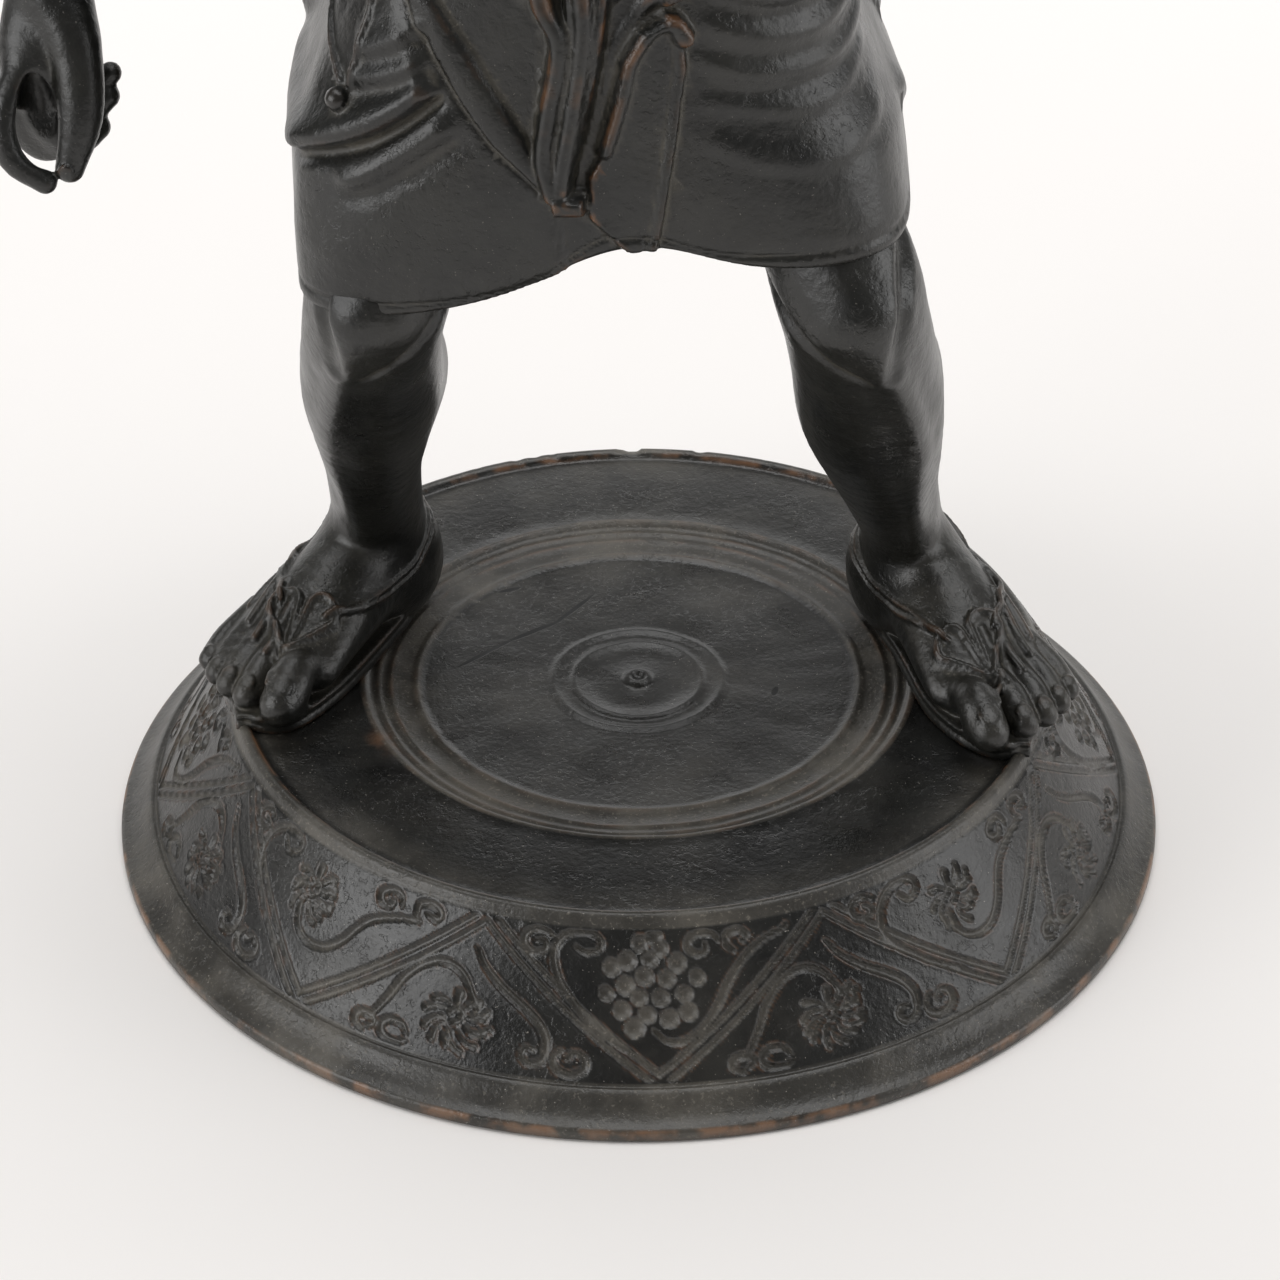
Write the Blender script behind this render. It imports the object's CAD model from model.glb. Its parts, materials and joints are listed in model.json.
"""Looks of a bronze silenus statuette: a stout bearded old man on a round turned base.

Lengths are in millimetres until a mesh is made, which is in metres. +Z is up and the figure faces -Y.
"right" and "left" are the figure's own, so its right side has negative X.
"""

import json
import math

import bpy
import numpy as np
import openvdb
from mathutils import Matrix, Vector

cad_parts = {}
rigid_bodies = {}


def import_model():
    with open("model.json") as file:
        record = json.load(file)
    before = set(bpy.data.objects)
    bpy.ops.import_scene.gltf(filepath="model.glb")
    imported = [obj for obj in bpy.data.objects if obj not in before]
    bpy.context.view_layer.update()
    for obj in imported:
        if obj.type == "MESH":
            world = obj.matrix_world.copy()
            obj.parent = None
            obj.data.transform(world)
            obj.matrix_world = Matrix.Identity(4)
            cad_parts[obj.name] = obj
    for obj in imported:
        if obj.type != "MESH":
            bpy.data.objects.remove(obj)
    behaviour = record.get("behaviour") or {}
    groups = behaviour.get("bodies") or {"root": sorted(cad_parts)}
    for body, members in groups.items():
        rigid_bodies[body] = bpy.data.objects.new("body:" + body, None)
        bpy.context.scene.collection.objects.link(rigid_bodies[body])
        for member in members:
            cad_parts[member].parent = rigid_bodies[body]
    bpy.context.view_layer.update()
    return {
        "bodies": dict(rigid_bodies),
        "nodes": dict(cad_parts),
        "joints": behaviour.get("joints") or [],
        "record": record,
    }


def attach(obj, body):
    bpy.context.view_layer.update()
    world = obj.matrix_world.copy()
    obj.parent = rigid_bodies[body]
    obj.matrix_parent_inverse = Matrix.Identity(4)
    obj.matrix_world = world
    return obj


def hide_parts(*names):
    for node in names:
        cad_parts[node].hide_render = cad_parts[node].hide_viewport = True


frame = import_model()

MM = 0.001
TAU = 2 * math.pi
FAR = 30.0
HUGE = 1e9
TINY = 1e-6

# Camera of the view: focal length and frame in pixels, place in millimetres, angles in radians
FRAME_PIXELS = 1280
FOCAL_PIXELS = 5500.0
SENSOR_MM = 36.0
CAMERA_PLACE = (0.0, -856.42, 636.65)
CAMERA_PITCH = 0.60834
CAMERA_YAW = 0.00044
CAMERA_ROLL = -0.00337


def smoothstep(value, low, high):
    t = np.clip((value - low) / (high - low), 0.0, 1.0)
    return t * t * (3 - 2 * t)


def curve_through(points, steps):
    """Points on a smooth curve through the given ones, with so many steps between each two."""
    p = np.asarray(points, float)
    ends = np.vstack([2 * p[0] - p[1], p, 2 * p[-1] - p[-2]])
    out = []
    for a, b, c, d in zip(ends[:-3], ends[1:-2], ends[2:-1], ends[3:]):
        bend, twist = 2 * a - 5 * b + 4 * c - d, 3 * b - a - 3 * c + d
        for t in np.arange(steps) / steps:
            out.append(0.5 * (2 * b + (c - a) * t + bend * t**2 + twist * t**3))
    out.append(p[-1])
    return np.array(out)


def nearest_on_line(u, v, points):
    """For each (u, v): the distance to a line through the points, the share of the line's length at that
    place, and whether (u, v) lies on the left hand of somebody who walks along it."""
    p = np.asarray(points, float)
    lengths = np.hypot(*np.diff(p, axis=0).T)
    start = np.concatenate([[0], np.cumsum(lengths)])
    best = np.full(np.broadcast(u, v).shape, HUGE)
    share = np.zeros_like(best)
    left = np.zeros(best.shape, bool)
    for (a_u, a_v), run, length, before in zip(p, np.diff(p, axis=0), lengths, start):
        if length < TINY:
            continue
        du, dv = run / length
        along = np.clip((u - a_u) * du + (v - a_v) * dv, 0, length)
        d = np.hypot(u - a_u - along * du, v - a_v - along * dv)
        nearer = d < best
        best = np.where(nearer, d, best)
        share = np.where(nearer, (before + along) / start[-1], share)
        left = np.where(nearer, du * (v - a_v) - dv * (u - a_u) > 0, left)
    return best, share, left


def bump(value, middle, width):
    """A smooth bump of height one round a middle."""
    return np.exp(-(((value - middle) / width) ** 2))


def link(obj):
    bpy.context.scene.collection.objects.link(obj)
    return obj


def mesh_object(name, vertices_mm, triangles, layers):
    """A smooth-shaded mesh from arrays of vertices and triangles. Each layer holds a number per vertex."""
    mesh = bpy.data.meshes.new(name)
    mesh.vertices.add(len(vertices_mm))
    mesh.vertices.foreach_set("co", (np.asarray(vertices_mm, np.float32) * MM).ravel())
    mesh.loops.add(triangles.size)
    mesh.loops.foreach_set("vertex_index", triangles.astype(np.int32).ravel())
    mesh.polygons.add(len(triangles))
    mesh.polygons.foreach_set("loop_start", np.arange(0, triangles.size, 3, dtype=np.int32))
    mesh.polygons.foreach_set("loop_total", np.full(len(triangles), 3, np.int32))
    mesh.polygons.foreach_set("use_smooth", np.ones(len(triangles), bool))
    for layer, values in layers.items():
        attribute = mesh.attributes.new(layer, "FLOAT", "POINT")
        attribute.data.foreach_set("value", np.asarray(values, np.float32))
    mesh.update(calc_edges=True)
    mesh.validate()
    return link(bpy.data.objects.new(name, mesh))


# The base: driving dimensions
RIM_RADIUS = 99.88
BAND_FOOT = (92.6, 7.8)
BAND_HEAD = (78.4, 31.4)
LIP_CREST = (76.3, 33.95)
PLATE_RADIUS = 74.85
PLATE_TOP = 32.7
BASE_CEILING = 27.6
REPEATS = 8
ZIGZAG_PHASE = math.radians(-87.7)
BAND_COLUMNS = 1120
BAND_ROWS = 58
BAND_MEAN_RADIUS = 85.5
BAND_LENGTH = math.hypot(BAND_FOOT[0] - BAND_HEAD[0], BAND_HEAD[1] - BAND_FOOT[1])

# Motifs of the band. Points are (degrees from the panel's axis, millimetres up the slope). Each list holds
# the scrolls, hooks and tendrils of one kind of panel.
GRAPE_LINES = [
    [
        (-13.4, 25.6), (-14.3, 26.4), (-15.9, 26.6), (-17.2, 25.2), (-17.0, 23.3), (-15.6, 22.4),
        (-14.3, 23.2), (-14.6, 24.7), (-15.6, 24.6),
    ],
    [
        (-10.4, 24.2), (-9.0, 23.2), (-7.4, 24.0), (-7.3, 25.7), (-8.6, 26.8), (-10.4, 26.9),
        (-12.1, 26.0), (-13.1, 23.8), (-13.1, 21.2), (-12.2, 17.7), (-10.4, 14.3), (-8.2, 10.4),
        (-6.1, 7.9), (-4.0, 6.0),
    ],
    [
        (7.9, 25.0), (7.4, 26.1), (6.0, 26.5), (4.4, 26.0), (3.9, 24.2), (5.0, 22.9), (6.2, 23.3),
        (6.2, 24.7),
    ],
    [(9.9, 22.7), (8.9, 24.2), (9.2, 25.9), (10.8, 26.4), (11.8, 25.2), (11.0, 24.4)],
    [
        (17.2, 26.0), (16.5, 25.2), (13.7, 23.9), (11.1, 21.3), (8.8, 17.4), (7.3, 13.5), (5.4, 9.8),
        (2.9, 7.3), (0.9, 7.5), (-0.6, 9.3),
    ],
]
BERRIES = [
    (-5.8, 20.8), (-3.8, 22.1), (-2.2, 25.2), (-1.0, 22.3), (0.4, 24.2), (2.5, 21.5), (-6.4, 16.1),
    (-4.0, 17.6), (-1.7, 19.2), (1.1, 18.7), (3.2, 15.8), (4.9, 18.7), (-2.3, 15.4), (0.3, 15.3),
    (-4.4, 13.1), (-1.4, 12.3), (-2.9, 9.9), (1.3, 11.5), (3.6, 12.6), (-0.4, 26.4),
]
LEAF_LINES = [
    [
        (-15.4, 26.0), (-16.9, 26.7), (-18.4, 25.5), (-18.3, 23.6), (-16.7, 22.7), (-15.5, 23.9),
        (-16.6, 24.9),
    ],
    [
        (-11.3, 24.6), (-10.2, 23.0), (-8.6, 23.8), (-8.4, 25.7), (-10.0, 26.8), (-12.4, 26.2),
        (-14.4, 23.5), (-14.9, 19.6), (-13.7, 16.3), (-11.4, 13.0), (-9.1, 10.0), (-5.8, 6.9),
    ],
    [
        (-4.6, 16.6), (-4.4, 13.8), (-3.2, 11.6), (-1.0, 10.6), (1.5, 11.6), (3.5, 14.4), (4.8, 17.3),
        (6.8, 20.2), (10.6, 22.3), (13.4, 22.9),
    ],
    [(10.3, 24.6), (9.8, 26.3), (8.2, 26.6), (6.8, 25.4), (7.2, 23.8), (8.6, 23.6), (9.0, 24.9)],
    [(12.6, 24.0), (12.7, 25.9), (14.3, 26.7), (15.9, 25.6), (15.6, 24.2), (14.3, 24.6)],
]
ARCH_LINES = [
    [
        (-12.6, 3.0), (-11.6, 5.6), (-10.6, 8.4), (-9.3, 12.6), (-7.0, 16.1), (-4.4, 17.4),
        (-2.0, 16.1), (-0.5, 13.2), (0.2, 11.0),
    ],
    [(-7.4, 2.6), (-8.2, 4.0), (-9.8, 4.1), (-10.8, 2.7), (-10.2, 1.0), (-8.4, 0.6), (-7.3, 1.4)],
    [(-12.4, 1.4), (-11.7, 2.6), (-12.6, 3.7), (-14.0, 3.2), (-14.2, 1.6), (-13.0, 0.7)],
    [
        (-0.5, 21.2), (0.9, 18.2), (3.5, 14.9), (6.6, 11.8), (8.6, 9.0), (9.4, 6.1), (9.0, 3.2),
        (7.7, 2.2), (6.7, 3.2), (6.9, 4.9), (8.0, 4.8),
    ],
    [
        (11.2, 5.2), (10.3, 3.6), (10.8, 1.8), (12.3, 0.9), (13.8, 2.0), (13.9, 4.0), (12.7, 5.0),
        (11.9, 3.8),
    ],
]
LEAF_CLUSTER = (-3.2, 19.6)
ARCH_CLUSTER = (-1.6, 8.0)
CLUSTER_SPREAD = 6.2
CLUSTER_STROKES = 11
ZIGZAG_EDGE = 1.0
ZIGZAG_HALF_WIDTH = 0.68
ZIGZAG_DEPTH = 0.6
LINE_HALF_WIDTH = 0.78
LINE_DEPTH = 0.72
BERRY_RADIUS = 1.78
BERRY_DEPTH = 1.0
PANEL_REACH = math.radians(21)


def lathe_profile():
    """Outline of the base as three runs of (radius, height): the top from the axis to the head of the band,
    the flange from the foot of the band round the rim, and the underside back to the axis."""
    top = [
        (0.0, 31.25), (0.9, 31.3), (1.5, 32.0), (2.2, 32.05), (2.8, 31.3), (3.6, 31.15), (8.0, 31.0),
        (11.2, 31.05), (11.8, 31.4), (12.4, 31.45), (12.9, 31.1), (13.5, 30.9), (15.2, 30.95), (15.9, 31.35),
        (16.5, 31.35), (17.1, 30.95), (18.0, 31.0), (30.0, 31.02), (40.2, 31.0), (41.0, 31.1), (41.8, 31.55),
        (42.5, 31.6), (43.0, 31.25), (43.6, 31.2), (46.4, 31.25), (46.9, 31.5), (47.4, 31.5), (47.8, 31.25),
        (48.9, 31.4), (49.3, 31.7), (49.9, 31.7), (50.3, 31.5), (51.4, 32.0), (51.9, 32.75), (52.5, 32.8),
        (53.1, 32.62), (56.0, PLATE_TOP), (66.0, PLATE_TOP), (73.0, PLATE_TOP - 0.05),
        (74.3, PLATE_TOP - 0.1), (PLATE_RADIUS, PLATE_TOP + 0.1), (75.2, 33.4), (75.7, 33.8), LIP_CREST,
        (76.9, 33.75), (77.4, 33.1), (77.7, 32.2), (78.0, 31.7),
    ]
    flange = [
        (92.75, 7.5), (92.95, 7.15), (93.3, 7.1), (93.6, 7.35), (94.0, 7.3), (94.8, 6.4), (95.9, 5.0),
        (97.2, 3.75), (98.4, 2.95), (99.2, 2.65), (99.7, 2.3), (RIM_RADIUS, 1.7), (RIM_RADIUS, 0.5),
        (99.6, 0.1), (99.2, 0.0),
    ]
    under = [
        (96.6, 0.0), (96.3, 0.3), (93.5, 3.4), (89.8, 6.2), (83.0, 17.5), (77.2, 26.4), (76.0, BASE_CEILING),
        (50.0, BASE_CEILING), (20.0, BASE_CEILING), (0.0, BASE_CEILING),
    ]
    return top, flange, under


def chased(distance, half_width, depth):
    """Height at a distance from the middle of a chased line, with steep sides and a slight burr beside."""
    bottom = -depth * (1 - smoothstep(distance, 0.45 * half_width, half_width))
    return bottom + 0.13 * bump(distance, 1.25 * half_width, 0.3 * half_width)


def deeper(a, b):
    """Two engraved height fields in one: the deeper hollow wins, and a burr stays outside the hollows."""
    return np.where(np.minimum(a, b) < -0.02, np.minimum(a, b), np.maximum(a, b))


def on_band(degrees, up):
    """A place on the unrolled band, in millimetres from the panel's axis and up the slope."""
    return math.radians(degrees) * BAND_MEAN_RADIUS, up


def tendril(u, v, points):
    """An engraved line that widens in its middle. Points are (degrees, millimetres up the slope)."""
    d, share, _ = nearest_on_line(u, v, curve_through([on_band(*p) for p in points], 5))
    swell = 0.72 + 0.45 * np.sin(np.pi * np.clip(share, 0, 1))
    return chased(d, LINE_HALF_WIDTH * swell, LINE_DEPTH)


def comma(u, v, start, turn, length, bend, width):
    """A short curved stroke that starts thin and ends thick, as a chasing punch leaves it."""
    points = []
    for share in (0, 0.25, 0.5, 0.75, 1):
        angle, reach = turn + bend * share, length * share
        points.append((start[0] + reach * math.cos(angle), start[1] + reach * math.sin(angle)))
    d, share, _ = nearest_on_line(u, v, points)
    return chased(d, width * (0.45 + 0.75 * share), LINE_DEPTH * 0.9)


def leaf_cluster(u, v, centre, rng):
    """A leafy flourish: a fan of curved strokes round an open middle, a trefoil on one side and a hook."""
    cu, cv = on_band(*centre)
    height = np.zeros_like(u)
    for i in range(CLUSTER_STROKES):
        turn = 2.3 + 4.4 * i / (CLUSTER_STROKES - 1) + 0.12 * rng.uniform(-1, 1)
        away = CLUSTER_SPREAD * rng.uniform(0.3, 0.42)
        start = (cu + away * math.cos(turn), cv + away * math.sin(turn))
        length = CLUSTER_SPREAD * rng.uniform(0.5, 0.72)
        height = deeper(height, comma(u, v, start, turn, length, rng.uniform(0.5, 0.9), 0.62))
    for turn in (0.35, 1.05, 1.75):
        start = (cu + 1.6 * math.cos(turn), cv + 1.4 * math.sin(turn))
        height = deeper(height, comma(u, v, start, turn, CLUSTER_SPREAD * 0.5, -0.2, 0.85))
    hook = [(-1.5, 0.6), (-0.4, 1.6), (0.8, 0.9), (0.4, -0.6), (-0.9, -1.2)]
    d, _, _ = nearest_on_line(u, v, curve_through([(cu + a, cv + b) for a, b in hook], 4))
    return deeper(height, chased(d, 0.55, LINE_DEPTH))


def engraved(height, u, v, lines):
    for points in lines:
        height = deeper(height, tendril(u, v, points))
    return height


def grape_panel(u, v, rng):
    height = engraved(np.zeros_like(u), u, v, GRAPE_LINES)
    for berry in BERRIES:
        cu, cv = on_band(*berry)
        radius = BERRY_RADIUS * rng.uniform(0.86, 1.08)
        d = np.hypot(u - cu, v - cv)
        cup = 0.12 * bump(d, radius, 0.22) - BERRY_DEPTH * np.sqrt(np.clip(1 - (d / radius) ** 2, 0, 1))
        height = deeper(height, cup)
    return height


def leaf_panel(u, v, rng):
    return engraved(leaf_cluster(u, v, LEAF_CLUSTER, rng), u, v, LEAF_LINES)


def arch_panel(u, v, rng):
    return engraved(leaf_cluster(u, v, ARCH_CLUSTER, rng), u, v, ARCH_LINES)


def zigzag_lines(u_deg, v):
    """The pair of grooves along each leg of the zigzag, over one repeat from -22.5 to 22.5 degrees."""
    across, _ = on_band(180 / REPEATS, 0)
    climb = BAND_LENGTH / across
    folded, _ = on_band(1, 0)
    off = (v - 0.2 - folded * np.abs(u_deg) * climb) / math.hypot(1, climb)
    sides = (-ZIGZAG_EDGE, ZIGZAG_EDGE)
    pair = [chased(np.abs(off + shift), ZIGZAG_HALF_WIDTH, ZIGZAG_DEPTH) for shift in sides]
    return deeper(*pair)


def band_relief(angle, v):
    """Height of the relief on the sloping band at an angle round the base and a distance up the slope."""
    rng = np.random.default_rng(7)
    step = TAU / REPEATS
    around = (angle - ZIGZAG_PHASE + step / 2) % TAU
    local = around % step - step / 2
    height = deeper(np.zeros_like(angle), zigzag_lines(np.degrees(local), v))
    for k in range(REPEATS):
        middle = ZIGZAG_PHASE + k * step
        for shift, panel in ((0.0, leaf_panel if k % 2 else grape_panel), (step / 2, arch_panel)):
            off = (angle - middle - shift + math.pi) % TAU - math.pi
            near = np.abs(off) < PANEL_REACH
            made = panel(off[near] * BAND_MEAN_RADIUS, v[near], rng)
            height[near] = deeper(height[near], made)
    edge = np.minimum(smoothstep(v, 0.0, 0.5), 1 - smoothstep(v, BAND_LENGTH - 0.4, BAND_LENGTH))
    return height * edge


def soft_noise(x, y, z, rng, waves=9, size=18.0):
    """A smooth irregular field between about -1 and 1, from a few waves of a size in millimetres."""
    total = np.zeros(np.broadcast(x, y, z).shape)
    for _ in range(waves):
        k = rng.normal(size=3)
        k *= TAU / (size * rng.uniform(0.6, 1.6) * np.linalg.norm(k))
        total = total + np.sin(k[0] * x + k[1] * y + k[2] * z + rng.uniform(0, TAU))
    return total / math.sqrt(waves)


def ring_rows(rows, columns):
    """x, y, z and a relief of nothing for rings of points at each (radius, height)."""
    angles = TAU * np.arange(columns) / columns
    r, z = (column[:, None] for column in np.array(rows).T)
    return r * np.cos(angles), r * np.sin(angles), z + 0 * angles, 0 * (z + angles)


def base_band():
    """Points of the band from its head down to its foot, with the relief pressed out of the slope."""
    angle = TAU * np.arange(BAND_COLUMNS) / BAND_COLUMNS
    angle, share = np.broadcast_arrays(angle[None, :], np.linspace(1, 0, BAND_ROWS)[:, None])
    relief = band_relief(angle, share * BAND_LENGTH)
    run, rise = BAND_FOOT[0] - BAND_HEAD[0], BAND_HEAD[1] - BAND_FOOT[1]
    slope = math.atan2(rise, run)
    r = BAND_FOOT[0] - share * run + relief * math.sin(slope)
    z = BAND_FOOT[1] + share * rise + relief * math.cos(slope)
    return r * np.cos(angle), r * np.sin(angle), z, relief


def ring_faces(upper, lower, columns, lower_columns):
    """Triangles between two rings of points, where a ring may have twice as many columns as the other."""
    few = min(columns, lower_columns)
    i = np.arange(few)
    j = (i + 1) % few
    if columns == lower_columns:
        faces = [(upper + i, lower + i, lower + j), (upper + i, lower + j, upper + j)]
    elif columns < lower_columns:
        a, b, c = lower + 2 * i, lower + 2 * i + 1, lower + 2 * j
        faces = [(upper + i, a, b), (upper + i, b, upper + j), (upper + j, b, c)]
    else:
        a, b, c = upper + 2 * i, upper + 2 * i + 1, upper + 2 * j
        faces = [(b, a, lower + i), (lower + j, b, lower + i), (c, b, lower + j)]
    return [np.stack(face, -1) for face in faces]


def make_base():
    top, flange, under = lathe_profile()
    half, coarse = BAND_COLUMNS // 2, BAND_COLUMNS // 4
    grids = [
        ring_rows(top[:1], 1), ring_rows(top[1:-10], coarse), ring_rows(top[-10:-4], half),
        ring_rows(top[-4:], BAND_COLUMNS), base_band(), ring_rows(flange[:5], BAND_COLUMNS),
        ring_rows(flange[5:], half), ring_rows(under[:-1], coarse), ring_rows(under[-1:], 1),
    ]
    rings = [grid[0].shape[1] for grid in grids for _ in grid[0]]
    starts = np.concatenate([[0], np.cumsum(rings)])
    x, y, z, relief = (np.concatenate([grid[k].ravel() for grid in grids]) for k in range(4))
    i = np.arange(coarse)
    j = (i + 1) % coarse
    last = starts[-3]
    triangles = [np.stack([0 * i, 1 + i, 1 + j], -1), np.stack([0 * i + len(x) - 1, last + j, last + i], -1)]
    for upper, lower, columns, lower_columns in zip(starts[1:-3], starts[2:-2], rings[1:-2], rings[2:-1]):
        triangles += ring_faces(upper, lower, columns, lower_columns)
    z, wear, dust = age_base(x, y, z, relief)
    layers = {"wear": wear, "dust": dust}
    return mesh_object("base_casting", np.stack([x, y, z], -1), np.concatenate(triangles), layers)


def age_base(x, y, z, relief):
    """The unevenness of the plate and the chips behind on its lip, then how far copper and dust show."""
    rng = np.random.default_rng(3)
    radius = np.hypot(x, y)
    on_top = z > 30
    on_plate = on_top & (radius < 74)
    wobble = 0.05 * soft_noise(x, y, z, rng, size=9.0) + 0.05 * soft_noise(x, y, z, rng, size=26.0)
    z = z + wobble * (on_plate & (radius > 3))
    chips = np.clip(soft_noise(x, y, z, rng, size=6.0) - 0.1, 0, 1)
    z = z - 0.9 * chips * bump(np.arctan2(y, x), math.radians(93), 0.3) * bump(radius, 76.3, 1.3) * on_top
    wear = [
        on_top * bump(radius, 75.3, 0.35),
        *(0.6 * on_top * bump(radius, ring, 0.3) for ring in (42.2, 47.1, 49.6, 52.2)),
        np.where(z > 1.2, 1.0, 0.4) * (radius > 99.5),
        0.28 * smoothstep(relief, 0.05, 0.12),
        0.8 * on_top * bump(x, -46.7, 3.2) * bump(y, -21.3, 3.2) * (np.abs(radius - 51.6) < 1.6),
    ]
    dust = [
        0.9 * np.clip(-relief / 0.4, 0, 1),
        0.6 * on_plate * bump(radius, 73.8, 1.2),
        0.2 * (on_top & (radius < 41)),
        0.12 * smoothstep(y, 0, 45) * (on_top & (radius > 52) & (y > 0)),
        *(0.55 * on_top * bump(radius, ring, 0.9) for ring in (14.3, 44.8, 48.4, 51.2)),
        0.95 * (on_top & (radius > 41) & (radius < 52.6)),
        0.75 * ((radius > 75.6) & (z > 31.6)),
        0.6 * (radius > 92.7),
    ]
    return z, np.max(wear, 0), np.max(dust, 0)


# Clay: shapes as distance values on a grid
def soft_min(a, b, blend):
    """The lesser of two distances, with a rounded seam where they are nearly equal."""
    if not blend:
        return np.minimum(a, b)
    h = np.clip(0.5 + 0.5 * (a - b) / blend, 0, 1)
    return a + (b - a) * h - blend * h * (1 - h)


def ellipse_distance(*pairs):
    """Distance to an ellipse or ellipsoid from pairs of an offset along an axis and the radius there."""
    near = np.sqrt(sum((offset / radius) ** 2 for offset, radius in pairs))
    far = np.sqrt(sum((offset / radius**2) ** 2 for offset, radius in pairs))
    return near * (near - 1) / np.maximum(far, TINY)


def unit(vector):
    return vector / max(np.linalg.norm(vector), TINY)


class Clay:
    """A block of distances in millimetres, negative inside. Shapes are added to it or cut from it."""

    def __init__(self, low, high, voxel):
        self.low = np.array(low, float)
        self.voxel = voxel
        self.count = [int(math.ceil((h - l) / voxel)) + 1 for l, h in zip(low, high)]
        self.distance = np.full(self.count, FAR, np.float32)

    def window(self, low, high):
        """Slices of the grid between two corners, with x, y and z there, all empty outside the block."""
        slices, lines = [], []
        for k in range(3):
            first = int(math.floor((low[k] - self.low[k]) / self.voxel))
            last = int(math.ceil((high[k] - self.low[k]) / self.voxel)) + 1
            first, last = np.clip([first, last], 0, self.count[k])
            slices.append(slice(first, last))
            line = np.float32(self.low[k]) + np.float32(self.voxel) * np.arange(first, last, dtype=np.float32)
            lines.append(line.reshape([-1 if axis == k else 1 for axis in range(3)]))
        return tuple(slices), *lines

    def draw(self, shapes, pad):
        """The least distance to any of the shapes, over one window that holds them all with a margin."""
        low = np.min([s.low for s in shapes], 0) - pad
        high = np.max([s.high for s in shapes], 0) + pad
        whole = self.window(low, high)[0]
        values = np.full([s.stop - s.start for s in whole], FAR, np.float32)
        for shape in shapes:
            at, x, y, z = self.window(shape.low - pad, shape.high + pad)
            inner = tuple(slice(a.start - w.start, a.stop - w.start) for a, w in zip(at, whole))
            values[inner] = np.minimum(values[inner], shape.distance(x, y, z))
        return whole, values

    def add(self, shapes, blend=0.0, way=1):
        """Adds a shape or several as one, with a seam as wide as the blend. A way of -1 cuts them."""
        at, new = self.draw(shapes if isinstance(shapes, list) else [shapes], blend + 4)
        self.distance[at] = way * soft_min(way * self.distance[at], new, blend)

    def cut(self, shapes, blend=0.0):
        self.add(shapes, blend, way=-1)

    def raise_by(self, low, high, height):
        """Moves the surface out by height(x, y, z) between two corners."""
        at, x, y, z = self.window(low, high)
        self.distance[at] -= height(x, y, z).astype(np.float32)

    def sample(self, points):
        """Distance at points, from the eight grid values round each."""
        q = (np.asarray(points, float) - self.low) / self.voxel
        q = np.clip(q, 0, np.array(self.count) - 1.001)
        i = q.astype(int)
        f = (q - i).astype(np.float32)
        total = np.zeros(len(q), np.float32)
        for corner in np.ndindex(2, 2, 2):
            weight = np.prod(np.where(corner, f, 1 - f), axis=1)
            total += weight * self.distance[tuple((i + corner).T)]
        return total

    def slope(self, points, reach):
        """Outward direction of the surface at points."""
        steps = reach * np.eye(3)
        g = np.stack([self.sample(points + s) - self.sample(points - s) for s in steps], -1)
        return g / np.maximum(np.linalg.norm(g, axis=1, keepdims=True), TINY)

    def snap(self, points, lift=0.0):
        """Points moved to the nearest place on the surface, or to a height over it."""
        p = np.array(points, float)
        for _ in range(8):
            p -= self.slope(p, self.voxel) * (self.sample(p) - lift)[:, None] * 0.8
        return p

    def bend(self, points, reach):
        """How strongly the surface curves: positive on edges, negative in grooves."""
        around = sum(self.sample(points + s) + self.sample(points - s) for s in reach * np.eye(3))
        return (around - 6 * self.sample(points)) / reach

    def mesh(self, name, rubbed=None):
        """A smooth mesh. rubbed(points) says how far the copper shows on edges, from 0 to 1."""
        grid = openvdb.FloatGrid(3.0)
        grid.copyFromArray(np.clip(self.distance / self.voxel, -3, 3))
        points, triangles, quads = grid.convertToPolygons(0.0, 0.02)
        points = points * self.voxel + self.low
        points -= self.slope(points, 0.6 * self.voxel) * self.sample(points)[:, None]
        normals = self.slope(points, 0.6 * self.voxel)
        corners = np.concatenate([triangles, quads[:, [0, 1, 2]], quads[:, [0, 2, 3]]])
        bend = self.bend(points, 1.1)
        bare = 0.25 if rubbed is None else rubbed(points)
        low_place = 0.4 * smoothstep(normals[:, 2], 0.1, 0.6) * (points[:, 2] < FOOT_FLOOR + 26)
        dust = np.maximum(smoothstep(-bend, 0.3, 1.1), low_place)
        made = mesh_object(name, points, corners, {"wear": smoothstep(bend, 0.6, 1.7) * bare, "dust": dust})
        made.data.normals_split_custom_set_from_vertices(normals)
        return made


class Ball:
    """An ellipsoid. turn holds rotations in degrees about X, Y and Z, applied in that order."""

    def __init__(self, centre, radii, turn=(0, 0, 0)):
        self.centre = np.array(centre, float)
        self.radii = np.broadcast_to(np.array(radii, float), 3)
        rx, ry, rz = (Matrix.Rotation(math.radians(a), 3, axis) for a, axis in zip(turn, "XYZ"))
        self.turn = np.array(rz @ ry @ rx)
        reach = np.sqrt(((self.turn * self.radii) ** 2).sum(1))
        self.low, self.high = self.centre - reach, self.centre + reach

    def distance(self, x, y, z):
        dx, dy, dz = (a - np.float32(c) for a, c in zip((x, y, z), self.centre))
        axes = self.turn.T.astype(np.float32)
        return ellipse_distance(*((dx * a[0] + dy * a[1] + dz * a[2], r) for a, r in zip(axes, self.radii)))


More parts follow.
